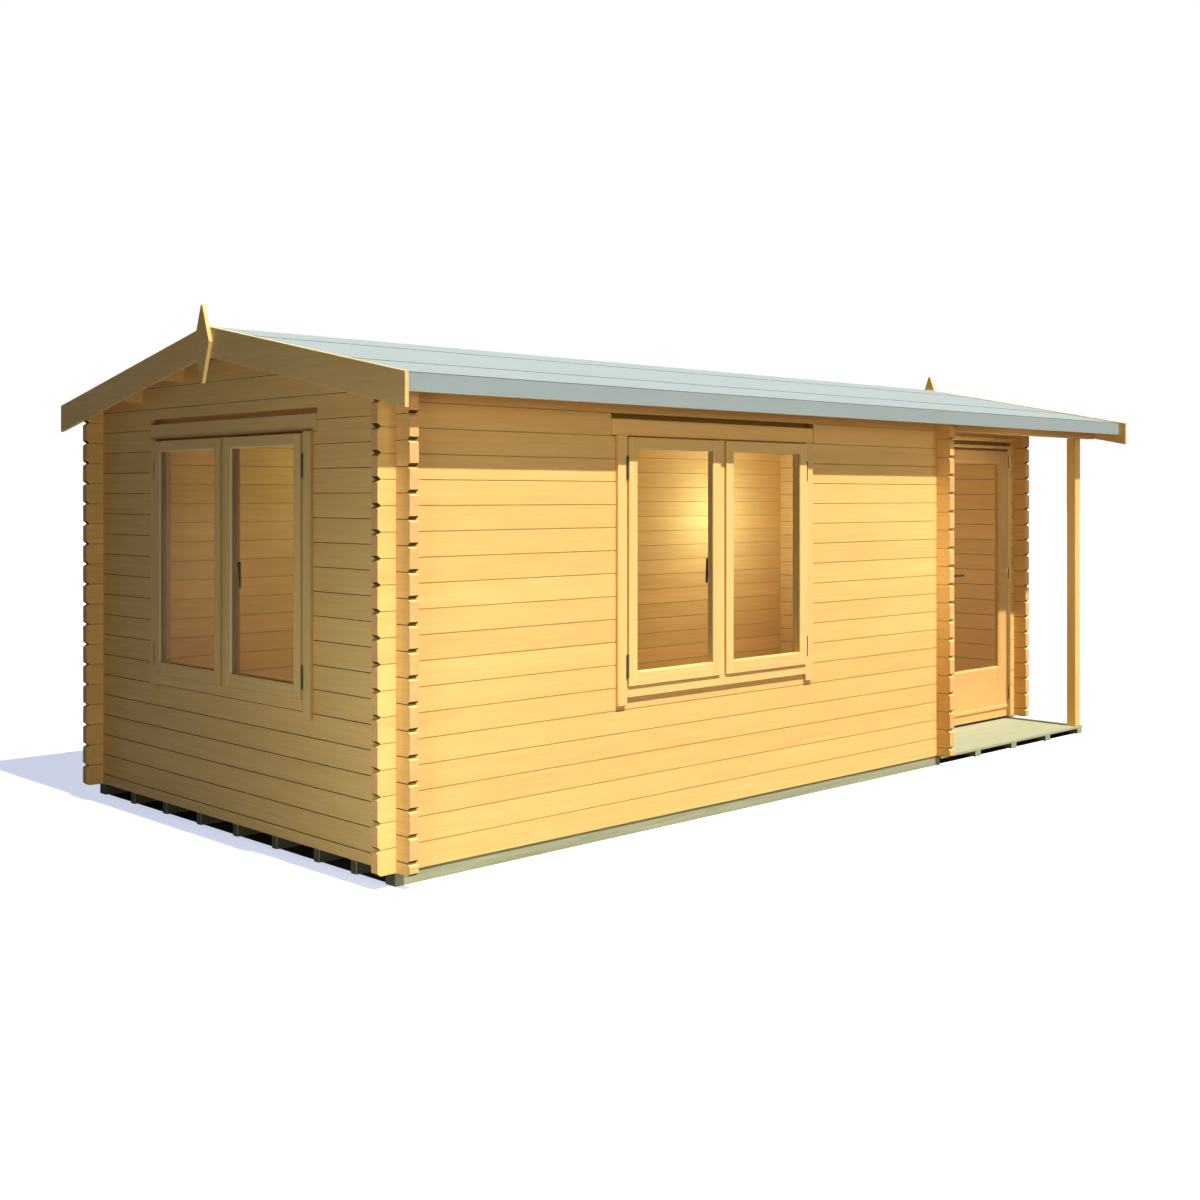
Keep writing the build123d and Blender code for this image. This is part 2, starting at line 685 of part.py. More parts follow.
# ---------------------------------------------------------------- doors
def make_door_frame(leaf_front, frame_front):
    """Jambs and head with a stop behind the leaves, threshold and head batten."""
    depth = (frame_front, y_door + door_frame_back)
    leaf_high = wall_base + leaf_top
    low, high = leaf_high + door_head_gap, leaf_high + door_head_gap + door_head_height
    face = frame_half - door_frame_width
    clear = face - door_stop
    middle = Pos(door_centre, 0, 0)
    hollow = block(-face, face, frame_front - past, leaf_front + leaf_thickness + leaf_gap,
                   wall_base - past, low)
    members = [block(*mirrored(side, clear, frame_half), *depth, wall_base, high)
               for side in (-1, 1)]
    between = (seat_gap - clear, clear - seat_gap)
    members.append(block(*between, *depth, leaf_high - door_stop, high))
    save("door_frame", [middle * (member - hollow) for member in members])
    save("door_threshold", [middle * block(*between, y_door - threshold_proud, depth[1],
                                           wall_base, wall_base + threshold_height)])
    over = level_bottom(top_level)
    batten_low = over - head_batten_height / 2
    batten = block(door_left - head_batten_end, door_right, y_door - head_batten_thickness,
                   y_door - seat_gap, batten_low, batten_low + head_batten_height)
    save("door_trim", [batten] + [middle * board for board in door_inner_trim(high, over)])


def door_inner_trim(frame_high, over):
    """Boards on the inside of the wall, round the outside of the door frame."""
    near, far = frame_half + seat_gap, door_hole_half + door_trim_cover
    inside = y_door + log_thickness + seat_gap
    depth = (inside, inside + door_trim_thickness)
    foot = wall_base + floor_thickness + seat_gap
    sides = [block(*mirrored(side, near, far), *depth, foot, frame_high) for side in (-1, 1)]
    head = block(-far, far, *depth, frame_high + seat_gap, over + door_trim_cover)
    return sides + [head]


def make_doors():
    """The double door of the porch: frame, two glazed leaves, hinges and lever."""
    front, frame_front = y_door - leaf_proud, y_door - door_frame_proud
    make_door_frame(front, frame_front)
    low, high = wall_base + leaf_bottom, wall_base + leaf_top
    drip = wall_base + weather_bar_low
    weather_bar = [(front, drip), (front - weather_bar_depth, drip),
                   (front - weather_bar_depth, drip + weather_bar_height - weather_bar_slope),
                   (front, drip + weather_bar_height)]
    pins = []
    for name, side in (("left", -1), ("right", 1)):
        outer = door_centre + side * (leaf_width + leaf_gap / 2)
        a, b = sorted((outer, door_centre + side * leaf_gap / 2))
        stiles = (leaf_hinge_stile, leaf_meeting_stile)[::-side]
        members, pane = glazed_frame(a, b, low, high, stiles, leaf_top_rail,
                                     kick_panel_top - leaf_bottom, front, leaf_thickness,
                                     leaf_glazing)
        bar = slab_along_x(weather_bar, a + weather_bar_inset, b - weather_bar_inset)
        save(f"{name}_door_leaf", members + [Pos(0, -seat_gap, 0) * bar])
        save(f"{name}_door_glass", [pane])
        hinge = (outer + side * leaf_gap / 2, front - door_knuckle_radius - door_knuckle_clear)
        knuckles = []
        for level in door_hinge_levels:
            knuckles.append(leaf_knuckle(*hinge, wall_base + level, side, front))
            pins.append(frame_knuckle(*hinge, wall_base + level, side, frame_front))
        save(f"{name}_door_knuckles", knuckles)
    save("door_hinge_pins", pins)
    make_lever(front)


def hinge_plate(x, side, face, z):
    """The flap of a hinge, flat on a face that looks to the front."""
    return block(*sorted((x, x + side * door_hinge_reach)), face - seat_gap - door_hinge_plate,
                 face - seat_gap, z, z + door_knuckle_height)


def leaf_knuckle(x, y, z, side, face):
    """The half of a lift-off hinge that turns with a leaf."""
    bore = barrel(door_pin_radius + door_pin_clearance, past, pin_sides)
    upper = barrel(door_knuckle_radius, door_knuckle_height)
    return Pos(x, y, z) * upper + hinge_plate(x, -side, face, z) - Pos(x, y, z - past / 2) * bore


def frame_knuckle(x, y, z, side, face):
    """The half of a lift-off hinge that stays on the frame, with its pin."""
    low = z - knuckle_play - door_knuckle_height
    lower = Pos(x, y, low) * barrel(door_knuckle_radius, door_knuckle_height)
    section = RegularPolygon(door_pin_radius, pin_sides)
    pin = Pos(x, y, low + door_knuckle_height / 2) * extrude(section, door_pin_length)
    web = block(x - door_hinge_web / 2, x + door_hinge_web / 2, y, face - seat_gap,
                low, low + door_knuckle_height)
    return lower + pin + hinge_plate(x, side, face, low) + web


def make_lever(face):
    """Lever handles on both faces of the right leaf, near its meeting edge."""
    x = door_centre + leaf_gap / 2 + lever_inset
    z = wall_base + door_handle_level
    neck, rise_half, plate = lever_neck / 2, door_lever_height / 2, lever_plate_width / 2
    levers = []
    for out, surface in ((-1, face - seat_gap), (1, face + leaf_thickness + seat_gap)):
        root, plate_top, near, far = (surface + out * reach for reach in (
            0, lever_plate_thickness, door_lever_standoff - door_lever_depth,
            door_lever_standoff))
        lever = block(x - plate, x + plate, *sorted((root, plate_top)),
                      z + lever_plate_above - lever_plate_height, z + lever_plate_above)
        lever += block(x - neck, x + neck, *sorted((plate_top, far)), z - neck, z + neck)
        lever += block(x - neck, x - neck + door_lever_length, *sorted((near, far)),
                       z - rise_half, z + rise_half)
        levers.append(lever)
    save("right_door_levers", levers)


os.makedirs("parts", exist_ok=True)
make_walls()
make_underside()
make_roof()
make_windows()
make_doors()
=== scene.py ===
# %% [markdown]
# # A log cabin with a corner porch
# The cabin's true shape comes from a CAD model: every log, board and hinge is already there, at its real
# size. This lesson dresses that model. It gives the timber soft edges and grain, lays the roof boards one
# by one, shapes the ironmongery, and lights it all on a pale floor. Lengths are in metres.

import json
import math
import random

import bmesh
import bpy
from mathutils import Matrix, Vector


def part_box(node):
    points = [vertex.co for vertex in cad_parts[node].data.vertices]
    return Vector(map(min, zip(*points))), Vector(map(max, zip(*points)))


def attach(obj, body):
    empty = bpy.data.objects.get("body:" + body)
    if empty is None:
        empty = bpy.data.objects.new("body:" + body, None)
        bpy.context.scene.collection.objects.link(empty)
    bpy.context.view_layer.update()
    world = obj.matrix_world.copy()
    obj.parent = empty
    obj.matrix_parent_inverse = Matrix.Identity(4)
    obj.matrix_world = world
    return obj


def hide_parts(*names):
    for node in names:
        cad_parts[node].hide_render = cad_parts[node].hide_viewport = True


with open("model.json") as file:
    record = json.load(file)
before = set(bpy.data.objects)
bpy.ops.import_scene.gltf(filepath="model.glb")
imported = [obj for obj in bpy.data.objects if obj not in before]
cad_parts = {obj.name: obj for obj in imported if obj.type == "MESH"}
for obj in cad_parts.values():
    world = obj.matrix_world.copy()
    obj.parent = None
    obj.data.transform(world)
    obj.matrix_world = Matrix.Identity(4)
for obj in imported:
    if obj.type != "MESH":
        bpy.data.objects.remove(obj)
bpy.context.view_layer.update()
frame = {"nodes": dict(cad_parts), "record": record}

# %% [markdown]
# ## Camera
# The walls must stay upright in the picture, and a tilted camera would make them lean. So the camera is
# held level at eye height, and its lens is shifted down instead.

# %% Set up the camera
from_corner = Vector((-3.821, -5.223, 1.635))
heading = -44.04
focal_length, film_width = 44.34, 36
lens_shift = -0.0861
view_reach = 500

gable_foot, front_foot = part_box("left_gable_wall")[0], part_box("front_wall")[0]
near_corner = Vector((gable_foot[0], front_foot[1], front_foot[2]))
eye = bpy.data.cameras.new("camera")
eye.lens, eye.sensor_width, eye.shift_y, eye.clip_end = focal_length, film_width, lens_shift, view_reach
camera = bpy.data.objects.new("camera", eye)
bpy.context.scene.collection.objects.link(camera)
camera.location = near_corner + from_corner
camera.rotation_euler = (math.radians(90), 0, math.radians(heading))
bpy.context.scene.camera = camera
print("camera", [round(value, 3) for value in camera.location])

# %% [markdown]
# ## Daylight
# A cabin stands outdoors, so one sun does most of the work: it is high and almost square to the front, and
# the window gable stays in shade. Its small disc gives the eaves a crisp shadow that softens with distance.
# Two wide, weak suns stand for light that the surroundings send back: one is low in front, without which
# the porch would be a black hole, and one keeps the back wall's logs readable. Light bounced off a bright
# lawn would do the same, but would tint the walls and take longer.

# %% Add the suns


def add_light(name, kind, strength, colour, travel=None, place=None):
    """A light; travel is the way its rays go. One that has a place gives light but is never seen."""
    light = bpy.data.lights.new(name, kind)
    light.energy, light.color = strength, colour
    holder = bpy.data.objects.new(name, light)
    bpy.context.scene.collection.objects.link(holder)
    if travel is not None:
        holder.rotation_euler = Vector(travel).to_track_quat("-Z", "Y").to_euler()
    if place is not None:
        holder.location = place
        holder.visible_camera = holder.visible_glossy = holder.visible_transmission = False
    return light


def add_sun(name, travel, strength, disc, colour):
    """A sun, with the width of its disc in degrees."""
    add_light(name, "SUN", strength, colour, travel).angle = math.radians(disc)


add_sun("sun", (-0.01, 1.0, -1.764), strength=5.7, disc=0.9, colour=(1.0, 0.965, 0.90))
add_sun("ground_light", (-0.20, 1.0, -0.12), strength=1.2, disc=40, colour=(1.0, 0.87, 0.68))
add_sun("back_light", (-0.35, -1.0, -0.35), strength=0.5, disc=35, colour=(1.0, 0.95, 0.86))

# %% [markdown]
# ## Lamps
# A room seen through its windows looks dead unless something lights it, so three round lamps hang inside.
# They are greenish, because light that bounces between pine walls turns red. Outside, square lamps act as a
# film crew's reflector boards: one lies on the lawn and lifts the eaves, one fills the gable's near corner,
# and two narrow ones reach into the porch. No ray that shows a thing meets a lamp, so none is mirrored in a
# pane.

# %% Hang the lamps and stand up the reflectors


def add_bulb(name, place, power, radius, colour):
    """A round lamp."""
    add_light(name, "POINT", power, colour, place=place).shadow_soft_size = radius


def add_reflector(name, place, aim, power, width, colour, cone=180):
    """A square lamp that faces a point; cone is the angle that its light fills, in degrees."""
    board = add_light(name, "AREA", power, colour, Vector(aim) - Vector(place), place)
    board.size, board.spread = width, math.radians(cone)


add_reflector("lawn_light", (0.2, -4.8, 0.1), aim=(0.2, -1.5, 2.2), power=25, width=5.0,
              colour=(1.0, 0.94, 0.80))
add_reflector("corner_light", (-4.8, -2.3, 0.45), aim=(-3.05, -1.1, 0.7), power=25.5, width=1.0,
              colour=(0.93, 0.98, 0.98))
add_bulb("room_light", (0.4, 0.75, 1.95), power=8, radius=0.2, colour=(0.86, 1.0, 0.80))
add_bulb("end_room_light", (-1.35, 0.80, 1.85), power=6.5, radius=0.2, colour=(0.76, 1.0, 0.56))
add_bulb("far_room_light", (2.12, 0.87, 1.56), power=17.5, radius=0.15, colour=(0.86, 1.0, 0.97))
add_reflector("porch_light", (0.1, -2.1, 1.3), aim=(2.9, -1.25, 1.35), power=1.25, width=0.9,
              colour=(1.0, 0.96, 0.90), cone=50)
add_reflector("door_light", (2.1, -1.9, 0.5), aim=(2.1, -0.87, 2.0), power=1.1, width=0.5,
              colour=(1.0, 0.96, 0.88), cone=50)

# %% [markdown]
# ## Sky
# The world has two jobs that need different brightness. As a light it must be weak, or the shade would go
# flat. As a backdrop it must be white. A Light Path node tells the two apart: rays that the camera, a
# mirror-like surface or glass sends out see white, and all others see the sky.

# %% Make the sky
sky_colour, sky_strength = (0.86, 0.93, 1.0), 0.02
backdrop_colour, backdrop_strength = (1, 1, 1), 1.0


def add_node(tree, kind, inputs=None, **settings):
    """A node with its settings; each of its inputs is linked to a socket or set to a value."""
    node = tree.nodes.new(kind)
    for key, value in settings.items():
        setattr(node, key, value)
    for key, value in (inputs or {}).items():
        if isinstance(value, bpy.types.NodeSocket):
            tree.links.new(value, node.inputs[key])
        else:
            node.inputs[key].default_value = value
    return node


def tinted(tree, kind, colour, **more):
    """A plain shader of one colour."""
    return add_node(tree, kind, {"Color": (*colour, 1), **more}).outputs[0]


def math_node(tree, operation, first, second):
    """A Math node's value."""
    return add_node(tree, "ShaderNodeMath", {0: first, 1: second}, operation=operation).outputs[0]


def seen_directly(tree):
    """1 for rays that show a thing to the viewer: camera, glossy and transmission rays."""
    path = add_node(tree, "ShaderNodeLightPath").outputs
    glossy = math_node(tree, "MAXIMUM", path["Is Camera Ray"], path["Is Glossy Ray"])
    return math_node(tree, "MAXIMUM", glossy, path["Is Transmission Ray"])


def either_shader(tree, share, first, second):
    """The first shader where share is 0, and the second where it is 1."""
    return add_node(tree, "ShaderNodeMixShader", {0: share, 1: first, 2: second}).outputs[0]


world = bpy.data.worlds.new("sky")
bpy.context.scene.world = world
world.use_nodes = True
sky = world.node_tree
sky.nodes.clear()
daylight = tinted(sky, "ShaderNodeBackground", sky_colour, Strength=sky_strength)
backdrop = tinted(sky, "ShaderNodeBackground", backdrop_colour, Strength=backdrop_strength)
add_node(sky, "ShaderNodeOutputWorld", {0: either_shader(sky, seen_directly(sky), daylight, backdrop)})
bpy.context.scene.view_settings.view_transform = "Standard"
print("sky strength", sky_strength)

# %% [markdown]
# ## Ground
# The floor only has to be pale and take the shadow. A plain white floor would throw a lot of light up at the
# walls, so its diffuse part is held back, and a little bluish glow that only the viewer's rays see makes up
# the white. In the shadow only that glow is left, so the shadow looks bluish. Under the cabin's footprint the
# glow is masked out, a painted shadow that keeps the gaps between the bearers dark.

# %% Lay the ground
ground_radius, ground_sides = 180, 96
dark_ground, pale_ground, shadow_glow = (0.05, 0.05, 0.045), (0.62, 0.60, 0.56), (0.53, 0.585, 0.735)
# painted shadow: the ground's glow is masked out inside this box under the cabin
painted_shadow_area = {"X": (-3.05, 2.97), "Y": (-1.40, 1.40)}


def add_object(name, work):
    """A bmesh as a new object that stands at the origin."""
    mesh = bpy.data.meshes.new(name)
    work.to_mesh(mesh)
    work.free()
    if "custom_normal" in mesh.attributes:
        mesh.attributes.remove(mesh.attributes["custom_normal"])
    mesh.shade_flat()
    piece = bpy.data.objects.new(name, mesh)
    bpy.context.scene.collection.objects.link(piece)
    return piece


def object_place(tree):
    """The piece's own coordinates."""
    return add_node(tree, "ShaderNodeTexCoord").outputs["Object"]


def within(tree, spot, axis, low, high):
    """1 where a coordinate lies between two numbers."""
    below = math_node(tree, "LESS_THAN", spot.outputs[axis], high)
    return math_node(tree, "MULTIPLY", below, math_node(tree, "GREATER_THAN", spot.outputs[axis], low))


ground_shape = bmesh.new()
bmesh.ops.create_circle(ground_shape, cap_ends=True, segments=ground_sides, radius=ground_radius)
ground = add_object("ground", ground_shape)
ground_finish = bpy.data.materials.new("pale_ground")
ground_finish.use_nodes = True
tree = ground_finish.node_tree
tree.nodes.clear()
unlit = tinted(tree, "ShaderNodeBsdfDiffuse", dark_ground)
glowing = add_node(tree, "ShaderNodeAddShader", {0: tinted(tree, "ShaderNodeBsdfDiffuse", pale_ground),
                                                 1: tinted(tree, "ShaderNodeEmission", shadow_glow)})
open_ground = either_shader(tree, seen_directly(tree), unlit, glowing.outputs[0])
spot = add_node(tree, "ShaderNodeSeparateXYZ", {0: object_place(tree)})
in_painted_shadow = math_node(tree, "MULTIPLY", within(tree, spot, "X", *painted_shadow_area["X"]),
                    within(tree, spot, "Y", *painted_shadow_area["Y"]))
add_node(tree, "ShaderNodeOutputMaterial", {0: either_shader(tree, in_painted_shadow, open_ground, unlit)})
ground.data.materials.append(ground_finish)
print("ground radius", ground_radius)

# %% [markdown]
# ## Timber as a maker sees it
# Wood is not a pattern on a surface: it is a bundle of long rings round a pith, cut open. Face grain, edge
# grain and the rings on a log's end are three cuts of the same bundle. A flat image would show its seams at
# every corner. So each board gets its own coordinates - along the grain, and two across it - stored on its
# vertices, and one solid pattern is cut by them. Boards differ, so each also gets a pith of its own and a
# tone.

# %% Give every board its own grain
pith_spread, least_share = 0.11, 0.35
start_spread = 40


def separate_solids(work):
    """The vertices of each separate solid in a bmesh, in a fixed order."""
    seen, solids = set(), []
    for start in work.verts:
        if start in seen:
            continue
        seen.add(start)
        group = [start]
        for vert in group:
            for far in (line.other_vert(vert) for line in vert.link_edges):
                if far not in seen:
                    seen.add(far)
                    group.append(far)
        solids.append(group)
    return solids


def extent(points):
    """The lowest and the highest corner of some points."""
    return [Vector(pick(point[axis] for point in points) for axis in range(3)) for pick in (min, max)]


def store_grain(work, name, lie=None):
    """Give every solid its grain coordinates and its tone; lie is the axis that its grain follows."""
    place = work.verts.layers.float_vector.new("grain_place")
    tone = work.verts.layers.float.new("tone")
    for number, group in enumerate(separate_solids(work)):
        dice = random.Random(f"{name} {number}")
        low, high = extent([vert.co for vert in group])
        size, middle = high - low, (low + high) / 2
        along = max(range(3), key=lambda axis: size[axis]) if lie is None else lie
        across = [axis for axis in range(3) if axis != along]
        turn = dice.uniform(0, 2 * math.pi)
        reach = dice.uniform(least_share, 1.0) * pith_spread
        pith = (math.cos(turn) * reach, math.sin(turn) * reach)
        start, shade = dice.uniform(0, start_spread), dice.uniform(-1, 1)
        for vert in group:
            own = vert.co - middle
            vert[place] = (own[along] + start, own[across[0]] + pith[0], own[across[1]] + pith[1])
            vert[tone] = shade


print("pith up to", pith_spread, "from the middle of a board")

# %% [markdown]
# ## Soft edges
# No plane leaves a corner perfectly sharp. A Bevel modifier would soften every edge of a mesh by one rule,
# end cuts and notches too. A maker runs the plane only along the faces that show, so these helpers pick
# those edges, and a bevel operator takes them off.

# %% Choose the edges that a plane takes off
sharp_turn = 0.12
flush = 1e-5
square_ratio = 1.1
parallel = 0.99


def soften(work, edges, width, segments=1):
    """Bevel some edges, with the settings that the editor would use."""
    bmesh.ops.bevel(work, geom=edges, offset=width, offset_type="OFFSET", affect="EDGES", segments=segments,
                    profile=0.5, material=-1, clamp_overlap=True)


def edges_of(verts):
    """The edges that touch some vertices, in a fixed order."""
    return sorted({line for vert in verts for line in vert.link_edges}, key=lambda line: line.index)


def face_edges(group):
    """The sharp edges round a board's two broad faces; a square bar gives all its long edges."""
    low, high = extent([vert.co for vert in group])
    size = high - low
    thin = min(range(3), key=lambda axis: size[axis])
    ranked = sorted(size)
    square = ranked[1] < square_ratio * ranked[0]
    chosen = []
    for line in edges_of(group):
        places = [vert.co[thin] for vert in line.verts]
        on_low = all(abs(place - low[thin]) < flush for place in places)
        on_high = all(abs(place - high[thin]) < flush for place in places)
        if line.calc_face_angle(0) >= sharp_turn and (square or on_low or on_high):
            chosen.append(line)
    return chosen


def along_edges(group, along):
    """The edges of a log that run its whole way, at the top and the bottom of its faces."""
    low, high = (pick(vert.co.z for vert in group) for pick in (min, max))
    chosen = []
    for line in edges_of(group):
        first, second = (vert.co for vert in line.verts)
        level = abs(first.z - second.z) < flush and min(abs(first.z - low), abs(first.z - high)) < flush
        straight = level and abs((second - first).normalized()[along]) > parallel
        if straight and line.calc_face_angle(0) > sharp_turn:
            chosen.append(line)
    return chosen


print("an edge is sharp from", round(math.degrees(sharp_turn), 1), "degrees")

# %% [markdown]
# ## Copies that stand for CAD nodes
# The CAD meshes are loose triangles and are never changed. A copy is joined up and its flat faces made
# whole, so that a bevel has clean edges to follow. The finished copy rides on the node's body and stands
# for it.

# %% Copy a node as timber
finishes = {}
merge_distance = 2e-5
flat_turn = math.radians(0.5)


def merged_copy(node):
    """A node's mesh as a bmesh, joined up and with its flat faces whole."""
    work = bmesh.new()
    work.from_mesh(frame["nodes"][node].data)
    bmesh.ops.remove_doubles(work, verts=work.verts, dist=merge_distance)
    bmesh.ops.dissolve_limit(work, angle_limit=flat_turn, verts=work.verts, edges=work.edges)
    return work


def boxes_of(node):
    """The corners of every separate solid of a node."""
    work = merged_copy(node)
    found = [extent([vert.co for vert in group]) for group in separate_solids(work)]
    work.free()
    return found


def dress(piece, node, slot, body="cabin"):
    """Let a finished piece stand for a CAD node."""
    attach(piece, body)
    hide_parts(node)
    piece.data.materials.clear()
    piece.data.materials.append(finishes[slot])
    return piece


def timber(node, slot, edge, body="cabin"):
    """A node copied as timber: soft edges, and grain that follows each board."""
    work = merged_copy(node)
    for group in separate_solids(work):
        work.edges.index_update()
        soften(work, face_edges(group), edge)
    store_grain(work, node)
    return dress(add_object(f"{node}_timber", work), node, slot, body)


print("post corners", boxes_of("porch_post"))

# %% [markdown]
# ## Parts for finishes
# Most finishes need the same few steps: scale the coordinates, take noise from them, squeeze a value into a
# range, mix two colours, and turn a height into relief. Node groups could hold these steps, but plain
# functions keep each tree flat and easy to read.

# %% Write the steps that finishes share


def mapped(tree, source, scale):
    """Coordinates scaled by three numbers."""
    return add_node(tree, "ShaderNodeMapping", {"Vector": source, "Scale": scale}).outputs[0]


def noise(tree, where, scale=1.0, detail=2.0, rough=0.5):
    """A noise texture's value."""
    inputs = {"Vector": where, "Scale": scale, "Detail": detail, "Roughness": rough}
    return add_node(tree, "ShaderNodeTexNoise", inputs).outputs["Fac"]


def ranged(tree, value, low, high, start=0.0, end=1.0):
    """A value between start and end moved between low and high."""
    return add_node(tree, "ShaderNodeMapRange", {0: value, 1: start, 2: end, 3: low, 4: high}).outputs[0]


def blended(tree, share, first, second, mode="MIX"):
    """Two colours mixed."""
    return add_node(tree, "ShaderNodeMix", {0: share, 6: first, 7: second}, data_type="RGBA",
                    blend_type=mode).outputs[2]


def new_finish(name):
    """A new material, its node tree and its Principled shader."""
    material = bpy.data.materials.new(name)
    material.use_nodes = True
    finishes[name] = material
    return material.node_tree, material.node_tree.nodes["Principled BSDF"]


def add_bump(tree, shader, height, distance):
    """Relief from a height."""
    bump = add_node(tree, "ShaderNodeBump", {"Height": height, "Distance": distance, "Strength": 1.0})
    tree.links.new(bump.outputs[0], shader.inputs["Normal"])


print("steps for finishes ready")

# %% [markdown]
# ## Pine
# Planed, clear-finished pine is honey coloured. Its rings are a few millimetres apart, darker where the
# tree grew slowly, and they wander along the log. A Wave texture in ring mode makes the bundle; noise that
# is stretched far along the grain bends it and adds the streaks that show from a distance.

# %% Grow the rings
wander_scale, wander_reach = 1.6, 0.035
wander_stretch, ring_stretch = (0.5, 5, 5), (0.02, 1, 1)
ring_settings = {"Scale": 42, "Distortion": 1.4, "Detail": 2, "Detail Scale": 1.2}


def vector_math(tree, operation, first, second, slot=1):
    """A Vector Math node's vector."""
    return add_node(tree, "ShaderNodeVectorMath", {0: first, slot: second}, operation=operation).outputs[0]


def growth_rings(tree, place):
    """Rings round the pith that wander along the board."""
    slow = {"Vector": mapped(tree, place, wander_stretch), "Scale": wander_scale}
    wander = add_node(tree, "ShaderNodeTexNoise", slow).outputs["Color"]
    centred = vector_math(tree, "SUBTRACT", wander, (0.5, 0.5, 0.5))
    pushed = vector_math(tree, "SCALE", centred, wander_reach, "Scale")
    bent = vector_math(tree, "ADD", mapped(tree, place, ring_stretch), pushed)
    return add_node(tree, "ShaderNodeTexWave", {"Vector": bent, **ring_settings}, wave_type="RINGS",
                    rings_direction="X", wave_profile="SAW").outputs["Fac"]


print("rings", ring_settings)

# %% Write the wood recipe
streak_stretch, fibre_stretch, broad_stretch = (2.6, 55, 55), (9, 900, 900), (0.7, 7, 7)
ring_depth, streak_depth, broad_depth = 0.34, 0.56, 0.30
streak_range, broad_range = (0.33, 0.67), (0.3, 0.7)
tone_share, ring_relief = 0.04, 0.5
smoother, rougher = 0.08, 0.10


def wood_finish(name, pale, deep, contrast=0.42, roughness=0.55, relief=0.0004, shine=0.14):
    """Rings and streaks between two colours, for timber that has grain coordinates."""
    tree, shader = new_finish(name)
    place = add_node(tree, "ShaderNodeAttribute", attribute_name="grain_place").outputs["Vector"]
    tone = add_node(tree, "ShaderNodeAttribute", attribute_name="tone").outputs["Fac"]
    rings = growth_rings(tree, place)
    streaks = noise(tree, mapped(tree, place, streak_stretch), detail=4, rough=0.62)
    fibres = noise(tree, mapped(tree, place, fibre_stretch), rough=0.6)
    broad = noise(tree, mapped(tree, place, broad_stretch))
    depth = math_node(tree, "ADD", ranged(tree, rings, 0.0, ring_depth),
                      ranged(tree, streaks, 0.0, streak_depth, *streak_range))
    depth = math_node(tree, "ADD", depth, ranged(tree, broad, 0.0, broad_depth, *broad_range))
    grain = blended(tree, math_node(tree, "MULTIPLY", depth, contrast), (*pale, 1), (*deep, 1))
    bright = math_node(tree, "ADD", math_node(tree, "MULTIPLY", tone, tone_share), 1.0)
    even = add_node(tree, "ShaderNodeCombineColor", {0: bright, 1: bright, 2: bright})
    tree.links.new(blended(tree, 1.0, grain, even.outputs[0], "MULTIPLY"), shader.inputs["Base Color"])
    dull = ranged(tree, streaks, roughness - smoother, roughness + rougher)
    tree.links.new(dull, shader.inputs["Roughness"])
    raised = math_node(tree, "MULTIPLY", rings, ring_relief)
    add_bump(tree, shader, math_node(tree, "ADD", raised, fibres), relief)
    shader.inputs["Specular IOR Level"].default_value = shine


print("tone changes by up to", tone_share)

# %% [markdown]
# ## Colours of the timber
# One tree gives many colours. End grain drinks the clear finish and turns redder than a planed face.
# Uncoated wood deep in a joint is browner, and pressure treatment turns pine a dull green. Some finishes are
# painted light: painted shade under log tips, in gaps, in reveals behind the panes and on the bearers' ends,
# and a pale painted highlight on the beads round the panes. Each is the same recipe with two colours of its
# own.

# %% Mix the wood finishes
wood_finish("pine", (0.907, 0.607, 0.219), (0.66, 0.36, 0.10), contrast=0.45)
wood_finish("log_end", (0.907, 0.540, 0.219), (0.62, 0.30, 0.10), contrast=0.55, shine=0.05)
wood_finish("log_joint", (0.46, 0.31, 0.105), (0.36, 0.22, 0.06), shine=0.0)
# painted shade: a near-black for the undersides of log tips and for the shaded gables' joints
wood_finish("log_tip_shade", (0.11, 0.065, 0.02), (0.07, 0.04, 0.01), shine=0.0)
# painted shade in the gaps over doors and casements
wood_finish("gap_shade", (0.62, 0.42, 0.15), (0.45, 0.28, 0.09), shine=0.0)
# painted shade, darker, in the slot over the front window and in the reveals behind the panes
wood_finish("reveal_shade", (0.33, 0.20, 0.05), (0.26, 0.145, 0.035), shine=0.0)
# painted highlight on the beads round the panes
wood_finish("bead_highlight", (0.98, 0.84, 0.54), (0.90, 0.70, 0.38))
wood_finish("pine_trim", (0.925, 0.635, 0.243), (0.70, 0.40, 0.13), contrast=0.45)
wood_finish("door_pine", (0.795, 0.482, 0.176), (0.60, 0.31, 0.09), contrast=0.45)
wood_finish("roof_board", (0.86, 0.58, 0.23), (0.60, 0.34, 0.11))
wood_finish("floor_board", (0.84, 0.60, 0.27), (0.58, 0.35, 0.13))
wood_finish("treated_deck", (0.41, 0.43, 0.29), (0.30, 0.31, 0.19), roughness=0.7)
wood_finish("treated_bearer", (0.44, 0.46, 0.30), (0.30, 0.31, 0.19), contrast=0.9, roughness=0.82,
            relief=0.0012)
# painted shade for the bearers' ends and forward sides under the floor
wood_finish("bearer_shade", (0.13, 0.125, 0.08), (0.07, 0.065, 0.04), contrast=0.9, roughness=0.85,
            relief=0.0012)
print("wood finishes", sorted(finishes))

# %% [markdown]
# ## Log walls
# Machined logs meet in a small V: each log's long edges are planed off before it is stacked. A texture could
# fake the fine dark line at every course, but it would not catch the sun on one side and hold shade on the
# other, so every log is really bevelled. Faces are then sorted by the way they look: end grain, the upper
# side of a V, and the underside of a tapered tip, where light hardly comes and a near-black finish paints the
# shade in. The gables stand in shade, and their V's get the same painted shade.

# %% Bevel the log walls
log_edge = 0.0028
log_nodes = ["front_wall", "front_eaves_beam", "back_wall", "left_gable_wall", "right_gable_wall",
             "porch_side_wall", "door_wall_left", "door_wall_right", "door_wall_over"]
side_of_log, joint, tip_underside, end_grain = range(4)
